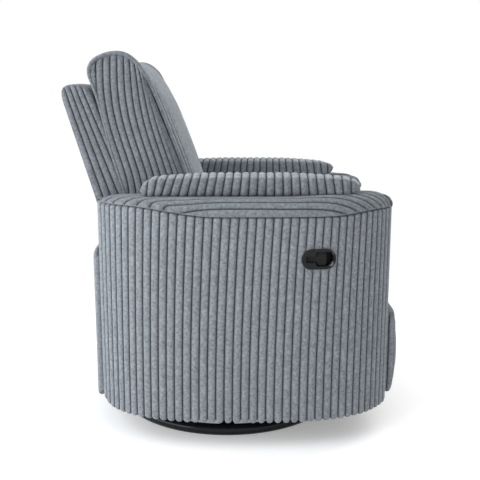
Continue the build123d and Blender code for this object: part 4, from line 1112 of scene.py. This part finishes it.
class RECLINER_OT_arm_pads(bpy.types.Operator):
    """Makes the pillow pads on the arms, their wales across the arm"""

    bl_idname = "recliner.arm_pads"
    bl_label = "Arm pads"

    # X and height above the arm of the pad's upper and lower outline
    TOP = ((-0.216, 0.014), (-0.210, 0.027), (-0.198, 0.039), (-0.180, 0.047), (-0.06, 0.051), (0.18, 0.051),
           (0.27, 0.048), (0.300, 0.045), (0.318, 0.040), (0.327, 0.034), (0.331, 0.026))
    UNDER = ((-0.216, 0.014), (-0.211, 0.004), (-0.200, 0.0), (0.25, 0.0), (0.281, 0.001), (0.315, 0.005),
             (0.327, 0.014), (0.331, 0.026))
    WIDTH, GAP = 0.080, 0.0003
    # powers that square the section's upper and lower half
    UPPER_POWER, LOWER_POWER = 0.36, 0.4
    # length of the rounded ends, and the width's share that is left at the tips
    END_LENGTH, TIP_SHARE = 0.05, 0.3
    # how far the wales lean at the rear, how that turns along the pad, and the length from the ends in which
    # it grows
    LEAN, LEAN_TURN, LEAN_LENGTH = 0.010, 1.6, 0.08
    # how much longer the inner side is at the front, and between which places
    LONGER, LONGER_SPAN = 0.005, (0.16, 0.33)
    # length from the ends in which the relief grows, what of it is left there, and how far up it starts
    RELIEF_LENGTH, TIP_RELIEF, RELIEF_SPAN = 0.02, 0.35, (-0.95, -0.75)
    # painted light on the pad's top and on its inner side: how much lighter it is, and from where to where it
    # grows
    TOP_NAP, TOP_SPAN = 0.40, (0.55, 0.85)
    INNER_NAP, INNER_SPAN = 0.12, (0.5, 0.8)
    # how far the pad swells
    SWELL = 0.006

    def upholstery(self, foot):
        """Cloth of the left pad, which lies on the arm at a height."""
        top, under = np.array(self.TOP) + (0, foot), np.array(self.UNDER) + (0, foot)
        length = top[-1, 0] - top[0, 0]
        places, wales = wale_stops(length, settings().corduroy.pitch)
        x = top[0, 0] + places
        upper, lower = soft_line(x, top), soft_line(x, under)
        ends = np.minimum(places, length - places)
        full = (1 - np.clip(1 - ends / self.END_LENGTH, 0, 1) ** 2) ** 0.5
        lean = self.LEAN * (1 - self.LEAN_TURN * places / length) * smooth(ends, 0.0, self.LEAN_LENGTH)
        half = self.WIDTH / 2
        middle = settings().body.inner + self.GAP + half
        turns = np.linspace(0, 2 * math.pi, 61)[:-1]
        grid = np.zeros((len(turns), len(places), 3))
        for row, turn in enumerate(turns):
            c, s = math.cos(turn), math.sin(turn)
            across = math.copysign(abs(c) ** self.UPPER_POWER, c)
            up = math.copysign(abs(s) ** (self.UPPER_POWER if s > 0 else self.LOWER_POWER), s)
            grid[row, :, 0] = x + lean * up + self.LONGER * (1 - across) * smooth(x, *self.LONGER_SPAN)
            grid[row, :, 1] = middle + half * across * (self.TIP_SHARE + (1 - self.TIP_SHARE) * full)
            grid[row, :, 2] = (upper + lower) / 2 + (upper - lower) / 2 * up
        relief = smooth(ends, 0.0, self.RELIEF_LENGTH, least=self.TIP_RELIEF)
        up, inward = np.sin(turns)[:, None], -np.cos(turns)[:, None]
        # painted shade as on the arm tops, with painted light on top and on the inner side
        painted_tone = ARM_PAINTED_SHADE + self.TOP_NAP * smooth(up, *self.TOP_SPAN)
        painted_tone = painted_tone + self.INNER_NAP * smooth(inward, *self.INNER_SPAN)
        cloth = Cloth()
        cloth.grid(grid, wales, relief[None, :] * smooth(up, *self.RELIEF_SPAN), wrap=True, painted_light=painted_tone)
        for column in (0, -1):
            cloth.fan(grid[:, column], closed=True)
        return cloth

    def execute(self, context):
        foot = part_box("arm_pad_left")[0].z
        dress_both(
            self.upholstery(foot), "arm_pillow_", "arm_pad_", fill=0.8,
            swell=self.SWELL, hold=lambda p: p[:, 2] < foot + HELD,
        )
        return {"FINISHED"}


class RECLINER_OT_panels(bpy.types.Operator):
    """Makes the rear panel, the arms' inner panels and the apron under the seat"""

    bl_idname = "recliner.panels"
    bl_label = "Panels"

    # rear panel: thickness, how far it reaches past its solid's sides, and its foot above the solid's
    REAR_THICKNESS, REAR_LAP, REAR_FOOT = 0.018, 0.005, 0.014
    # how far the rear panel stands out from its solid at its middle and at its sides
    MIDDLE_OUT, SIDE_OUT = 0.006, 0.010
    # how far the inner panels reach past their solids' ends, and the apron stays inside its solid's
    INNER_LAP, APRON_INSET = 0.012, 0.013

    def rear_panel(self):
        """Bowed panel between the side covers."""
        low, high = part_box("rear_panel")
        half = high.y
        points = places_of(frame["nodes"]["rear_panel"].data)
        middle = points[np.abs(points[:, 1]) < 0.03][:, 0].min() - self.MIDDLE_OUT
        side = points[np.abs(points[:, 1]) > half - 0.01][:, 0].min() - self.SIDE_OUT
        ys = np.linspace(-half - self.REAR_LAP, half + self.REAR_LAP, 300)
        path = np.stack([side + (middle - side) * (1 - (ys / half) ** 2), ys], axis=1)
        cloth = wall(path, self.REAR_THICKNESS, low.z + self.REAR_FOOT, level(high.z - 0.003), edge=0.009)
        dress(cloth.finish("rear_panel_cover"), "chassis", "rear_panel")

    def inner_panels(self):
        """Flat panels on the arms' inner sides."""
        low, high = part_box("arm_inner_panel_left")
        xs = np.linspace(low.x - self.INNER_LAP, high.x + self.INNER_LAP, 60)[::-1]
        path = np.stack([xs, np.full(len(xs), low.y)], axis=1)
        cloth = wall(path, high.y - low.y, low.z, level(high.z - 0.002), edge=0.005, rows=20)
        dress_both(cloth, "inner_arm_cover_", "arm_inner_panel_", fill=0.6)

    def apron(self):
        """Flat apron under the seat's front."""
        low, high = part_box("seat_apron")
        ys = np.linspace(low.y + self.APRON_INSET, high.y - self.APRON_INSET, 60)[::-1]
        path = np.stack([np.full(len(ys), high.x), ys], axis=1)
        cloth = wall(path, high.x - low.x, low.z, level(high.z - 0.003), edge=0.008, rows=8)
        dress(cloth.finish("seat_apron_cover"), "chassis", "seat_apron")

    def execute(self, context):
        self.rear_panel()
        self.inner_panels()
        self.apron()
        return {"FINISHED"}


def back_face(z, depth=0.0):
    """X at a height of the back's outside face as it leans, or of a place that far ahead of it."""
    return BACK_X - (z - BACK_Z) * math.tan(BACK_LEAN) + depth


class RECLINER_OT_back(bpy.types.Operator):
    """Makes the upholstery outside the back's frame"""

    bl_idname = "recliner.back"
    bl_label = "Back outside"

    # depth ahead of the outside face, height and radius of the outline's corners above the foot
    CORNERS = (
        (0.086, 0.80, 0.05), (0.078, 0.895, 0.020), (0.060, 0.912, 0.020), (0.014, 0.908, 0.030),
        (-0.001, 0.885, 0.024),
    )
    # depth and radius of the foot's outer and inner corner
    FOOT = ((0.0, 0.026), (0.082, 0.006))
    # how much the wales spread towards the foot, from a height at which they don't
    SPREAD, SPREAD_FROM = 1.2, 0.70
    # how far the sides are inside the solid's, and the band's middle stands out
    SIDE_INSET, CROWN = 0.003, 0.003

    def wale_width(self, z):
        """Width of a wale on the sides, at a height."""
        return 1 + self.SPREAD * (self.SPREAD_FROM - z)

    def execute(self, context):
        low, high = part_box("back_outside_pad")
        corners = [(depth, low.z, radius) for depth, radius in self.FOOT] + list(self.CORNERS)
        outline = rounded([(back_face(z, depth), z, radius) for depth, z, radius in corners], steps=9)
        cloth = boxed(
            outline, high.y - self.SIDE_INSET, level(self.CROWN), draw=0.002, bulge=0.003,
            # painted shade on the sides
            painted_light=(SIDE_PAINTED_SHADE, EVEN_PAINTED_LIGHT),
            warp=(
                lambda x, z: (x - back_face(z)) / self.wale_width(z),
                lambda u, z: u * self.wale_width(z) + back_face(z),
            ),
        )
        dress(cloth.finish("back_outside_cover"), "back", "back_outside_pad")
        return {"FINISHED"}


class RECLINER_OT_lining(bpy.types.Operator):
    """Makes the black lining between the rear panel and the foot of the back"""

    bl_idname = "recliner.lining"
    bl_label = "Lining"

    COLOUR = (0.012, 0.012, 0.013)
    THICKNESS, SAG = 0.0015, 0.018
    # how far it is fixed below the panel's top, and above it on the back
    FIXED = 0.012
    # where it starts ahead of the rear panel's middle and of the side covers, where it ends ahead of the
    # back's face, and how far its sides are inside the back's
    MIDDLE_IN, SIDE_IN, BACK_IN, INSET = 0.022, 0.006, 0.004, 0.004

    def execute(self, context):
        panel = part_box("rear_panel")
        top, half = panel[1].z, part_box("back_outside_pad")[1].y - self.INSET
        start = np.array([panel[0].x + self.MIDDLE_IN, top - self.FIXED])
        end = np.array([back_face(top + self.FIXED, self.BACK_IN), top + self.FIXED])
        share = np.linspace(0, 1, 25)
        sag = self.SAG * np.sin(math.pi * share)
        ys = np.linspace(-half, half, 41)
        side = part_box("side_cover_left")[0].x + self.SIDE_IN
        front = side + (start[0] - side) * (1 - (ys / half) ** 2)[None, :]
        grid = np.zeros((len(share), len(ys), 3))
        grid[..., 0] = front + (end[0] - front) * share[:, None]
        grid[..., 1] = ys
        grid[..., 2] = (start[1] + (end[1] - start[1]) * share - sag)[:, None]
        below = grid - (0, 0, self.THICKNESS)
        cloth = Cloth()
        cloth.grid(grid)
        cloth.grid(below[:, ::-1])
        for first, second in ((grid[:, 0], below[:, 0]), (below[:, -1], grid[:, -1])):
            cloth.grid(np.stack([first, second], axis=1))
        for first, second in ((grid[0], below[0]), (below[-1], grid[-1])):
            cloth.grid(np.stack([first, second]))
        piece = cloth.finish("rear_lining")
        piece.data.materials.append(
            plain_finish("black_lining_cloth", self.COLOUR, 0.9, specular=0.1, fine=1200.0, bump=0.3)
        )
        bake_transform(piece)
        return {"FINISHED"}


class RECLINER_OT_back_cushion(bpy.types.Operator):
    """Makes the pillow of the back with its gathered top corners"""

    bl_idname = "recliner.back_cushion"
    bl_label = "Back cushion"

    # depth of the pillow's rear ahead of the back's outside face
    REAR = 0.0812
    # depth ahead of the pillow's rear, height and radius of the outline's corners above the foot
    CORNERS = (
        (0.175, 0.728, 0.05), (0.164, 0.853, 0.05), (0.157, 0.910, 0.03), (0.149, 0.939, 0.018),
        (0.142, 0.959, 0.012), (0.133, 0.971, 0.012), (0.122, 0.981, 0.012), (0.107, 0.987, 0.014),
        (0.082, 0.987, 0.014), (0.058, 0.981, 0.014), (0.033, 0.971, 0.014), (0.015, 0.956, 0.014),
        (0.004, 0.933, 0.016), (0.007, 0.905, 0.03), (0.008, 0.870, 0.03), (0.004, 0.800, 0.03),
        (-0.002, 0.740, 0.03),
    )
    # line of one wale on the pillow's side: heights, X at them, and the degree of the curve through them
    WALE_HEIGHTS = (0.60, 0.688, 0.727, 0.779, 0.848, 0.916, 0.987)
    WALE_PLACES = (-0.226, -0.2345, -0.2442, -0.2608, -0.2777, -0.2814, -0.2806)
    WALE_DEGREE = 4
    # heights between which that line is followed, and the steps in it
    WALE_SPAN, WALE_STEPS = (0.60, 0.99), 40
    # how much narrower the side's wales are, the length in which they bunch at the front, and their least gap
    SQUEEZE, BUNCH, LEAST_GAP = 0.84, 0.018, 0.002
    # front of the pillow: its depth at the foot, and how much less that is for each metre of height
    FRONT_DEPTH, TAPER = 0.188, 0.10
    # front edge of the sides: how far it lies beyond the outline and turns in, the length of that turn,
    # and the heights between which the turn ends
    FRONT_OUT, TURN_IN, TURN_LENGTH, TURN_SPAN = 0.004, 0.013, 0.045, (0.90, 0.95)
    # radius of the cord round the sides, how much thicker it is at the top, and between which heights
    WELT, TOP_WELT, WELT_SPAN = 0.0042, 0.0013, (0.92, 0.96)
    # how far the front's middle stands out, from what depth on, and in what length
    CROWN, CROWN_DEPTH, CROWN_LENGTH = 0.006, 0.09, 0.05
    # how far the corners are gathered up and the top's middle sinks, within what height of the top,
    # and the share of the half width at which they are gathered, and over which
    GATHER, SINK, TOP_HEIGHT = 0.003, 0.010, 0.10
    GATHER_AT, GATHER_WIDTH = 0.88, 0.14
    # how far the sides are inside the solid's, and how far the pillow swells
    SIDE_INSET, SWELL = 0.0085, 0.010

    def execute(self, context):
        low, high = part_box("back_cushion")
        half = high.y - self.SIDE_INSET
        heights = np.linspace(*self.WALE_SPAN, self.WALE_STEPS)
        wale = np.polynomial.Polynomial.fit(self.WALE_HEIGHTS, self.WALE_PLACES, self.WALE_DEGREE)(heights)
        corners = [(0.000, low.z + 0.004, 0.020), (0.184, low.z, 0.050), *self.CORNERS]
        outline = rounded(
            [(back_face(z, self.REAR + depth), z, radius) for depth, z, radius in corners], steps=8
        )

        def crown(points):
            """How far the band's middle stands out, on the front only."""
            ahead = points[:, 0] - back_face(points[:, 1], self.REAR + self.CROWN_DEPTH)
            return self.CROWN * smooth(ahead, 0.0, self.CROWN_LENGTH)

        def rise(band, share):
            """Gathered corners and a sunk middle along the top."""
            near_top = smooth(band[..., 2], high.z - self.TOP_HEIGHT, high.z)
            gathered = self.GATHER * np.exp(-((np.abs(share) - self.GATHER_AT) / self.GATHER_WIDTH) ** 2)
            return near_top * (gathered - self.SINK * (1 - share ** 2))[None, :]

        def front(z):
            """X of the sides' front edge at a height."""
            return back_face(z, self.REAR + self.FRONT_DEPTH - self.TAPER * (z - low.z)) + self.FRONT_OUT

        def middle(z):
            """X of the given wale at a height."""
            return np.interp(z, heights, wale)

        def across(x, z):
            """Place across the side's wales."""
            behind = np.maximum(front(z) - x, self.LEAST_GAP)
            bunched = self.BUNCH * np.log(np.expm1(behind / self.BUNCH))
            return (front(z) - middle(z) - bunched) / self.SQUEEZE

        def back_to_x(u, z):
            """X of a place across the side's wales."""
            behind = (front(z) - middle(z) - self.SQUEEZE * u) / self.BUNCH
            return front(z) - self.BUNCH * np.logaddexp(0, behind)

        def soft(x, z):
            """How far the side turns in towards the front."""
            near = np.clip(1 - (front(z) - self.FRONT_OUT - x) / self.TURN_LENGTH, 0, 1)
            return self.TURN_IN * (1 - np.sqrt(1 - near ** 2)) * (1 - smooth(z, *self.TURN_SPAN))

        cloth = boxed(
            outline, half, crown, draw=0.002, bulge=0.004, rise=rise, warp=(across, back_to_x), soft=soft,
            # painted shade on the sides, painted light on the front
            welt=lambda z: self.WELT + self.TOP_WELT * smooth(z, *self.WELT_SPAN), painted_light=(SIDE_PAINTED_SHADE, FRONT_PAINTED_LIGHT),
        )
        piece = cloth.finish(
            "back_pillow", swell=self.SWELL,
            hold=lambda p: (
                (p[:, 0] < back_face(p[:, 2], self.REAR + HELD)) | (np.abs(p[:, 1]) > half - SEAM_HELD)
            ),
        )
        dress(piece, "back", "back_cushion")
        return {"FINISHED"}


class RECLINER_OT_seat(bpy.types.Operator):
    """Makes the seat cushion, its wales running over the front edge"""

    bl_idname = "recliner.seat"
    bl_label = "Seat cushion"

    # how far the top's edges lie below the solid's top
    TOP_DOWN = 0.007
    # how far its middle stands out, and the depths below the solid's top between which it does
    CROWN, CROWN_FROM, CROWN_TO = 0.010, 0.05, 0.02
    # how far the cushion swells, and the height up to which it is held
    SWELL, HELD_HEIGHT = 0.006, 0.01

    def execute(self, context):
        low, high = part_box("seat_cushion")
        top = high.z - self.TOP_DOWN
        outline = rounded([
            (low.x, low.z, 0.02), (high.x - 0.004, low.z, 0.03), (high.x, top, 0.05), (low.x, top, 0.03),
        ])

        def crown(points):
            """How far the band's middle stands out, on the top only."""
            return self.CROWN * smooth(points[:, 1], high.z - self.CROWN_FROM, high.z - self.CROWN_TO)

        cloth = boxed(outline, high.y - 0.002, crown, draw=0.010, bulge=0.002)
        piece = cloth.finish(
            "seat_pillow", swell=self.SWELL, hold=lambda p: p[:, 2] < low.z + self.HELD_HEIGHT
        )
        dress(piece, "chassis", "seat_cushion")
        return {"FINISHED"}


class RECLINER_OT_footrest_pad(bpy.types.Operator):
    """Makes the padded front of the footrest"""

    bl_idname = "recliner.footrest_pad"
    bl_label = "Footrest pad"

    # how far the cloth laps round the board's rear and edges, the front stands out, and the pad swells
    REAR_LAP, EDGE_LAP, CROWN, SWELL = 0.0015, 0.003, 0.006, 0.005

    def execute(self, context):
        low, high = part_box("footrest_pad")
        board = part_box("footrest_board")[0]
        rear, foot = board.x - self.REAR_LAP, board.z - self.EDGE_LAP
        outline = rounded([
            (rear, foot, 0.004), (low.x + 0.004, low.z, 0.008), (high.x - 0.016, low.z, 0.024),
            (high.x - 0.007, low.z + 0.035, 0.03), (high.x - 0.004, (low.z + high.z) / 2, 0.12),
            (high.x - 0.010, high.z, 0.024), (low.x + 0.004, high.z, 0.008),
            (rear, low.z + high.z - foot, 0.004),
        ])

        def crown(points):
            """How far the band's middle stands out, more towards the front."""
            return self.CROWN * smooth(points[:, 0], low.x + 0.01, high.x - 0.005)

        cloth = boxed(outline, high.y - 0.002, crown, draw=0.004, bulge=0.002)
        piece = cloth.finish("footrest_pillow", swell=self.SWELL, hold=lambda p: p[:, 0] < low.x + HELD)
        dress(piece, "footrest", "footrest_pad")
        return {"FINISHED"}


OPERATORS = (
    RECLINER_OT_stage,
    RECLINER_OT_hard_finishes,
    RECLINER_OT_side_covers,
    RECLINER_OT_arm_tops,
    RECLINER_OT_arm_pads,
    RECLINER_OT_panels,
    RECLINER_OT_back,
    RECLINER_OT_lining,
    RECLINER_OT_back_cushion,
    RECLINER_OT_seat,
    RECLINER_OT_footrest_pad,
)


class ReclinerSettings(bpy.types.PropertyGroup):
    """All settings of the recliner."""

    corduroy: bpy.props.PointerProperty(type=CorduroySettings)
    body: bpy.props.PointerProperty(type=BodySettings)
    finish: bpy.props.PointerProperty(type=FinishSettings)
    stage: bpy.props.PointerProperty(type=StageSettings)


class RECLINER_PT_pieces(bpy.types.Panel):
    """Lists the recliner's settings and pieces"""

    bl_idname = "RECLINER_PT_pieces"
    bl_label = "Recliner"
    bl_space_type = "VIEW_3D"
    bl_region_type = "UI"
    bl_category = "Recliner"

    def draw(self, context):
        for group in ("corduroy", "body", "finish", "stage"):
            box = self.layout.box()
            values = getattr(context.scene.recliner, group)
            for name in values.bl_rna.properties.keys():
                if name not in ("rna_type", "name"):
                    box.prop(values, name)
        for operator in OPERATORS:
            self.layout.operator(operator.bl_idname)


CLASSES = (
    CorduroySettings, BodySettings, FinishSettings, StageSettings, ReclinerSettings,
    *OPERATORS, RECLINER_PT_pieces,
)


def register():
    """Makes the settings, the operators and the panel known."""
    for cls in CLASSES:
        bpy.utils.register_class(cls)
    bpy.types.Scene.recliner = bpy.props.PointerProperty(type=ReclinerSettings)


def unregister():
    """Takes them away again."""
    del bpy.types.Scene.recliner
    for cls in reversed(CLASSES):
        bpy.utils.unregister_class(cls)


def main():
    """Makes all pieces."""
    register()
    for operator in OPERATORS:
        name = operator.bl_idname.split(".")[1]
        getattr(bpy.ops.recliner, name)()


if __name__ == "__main__":
    main()
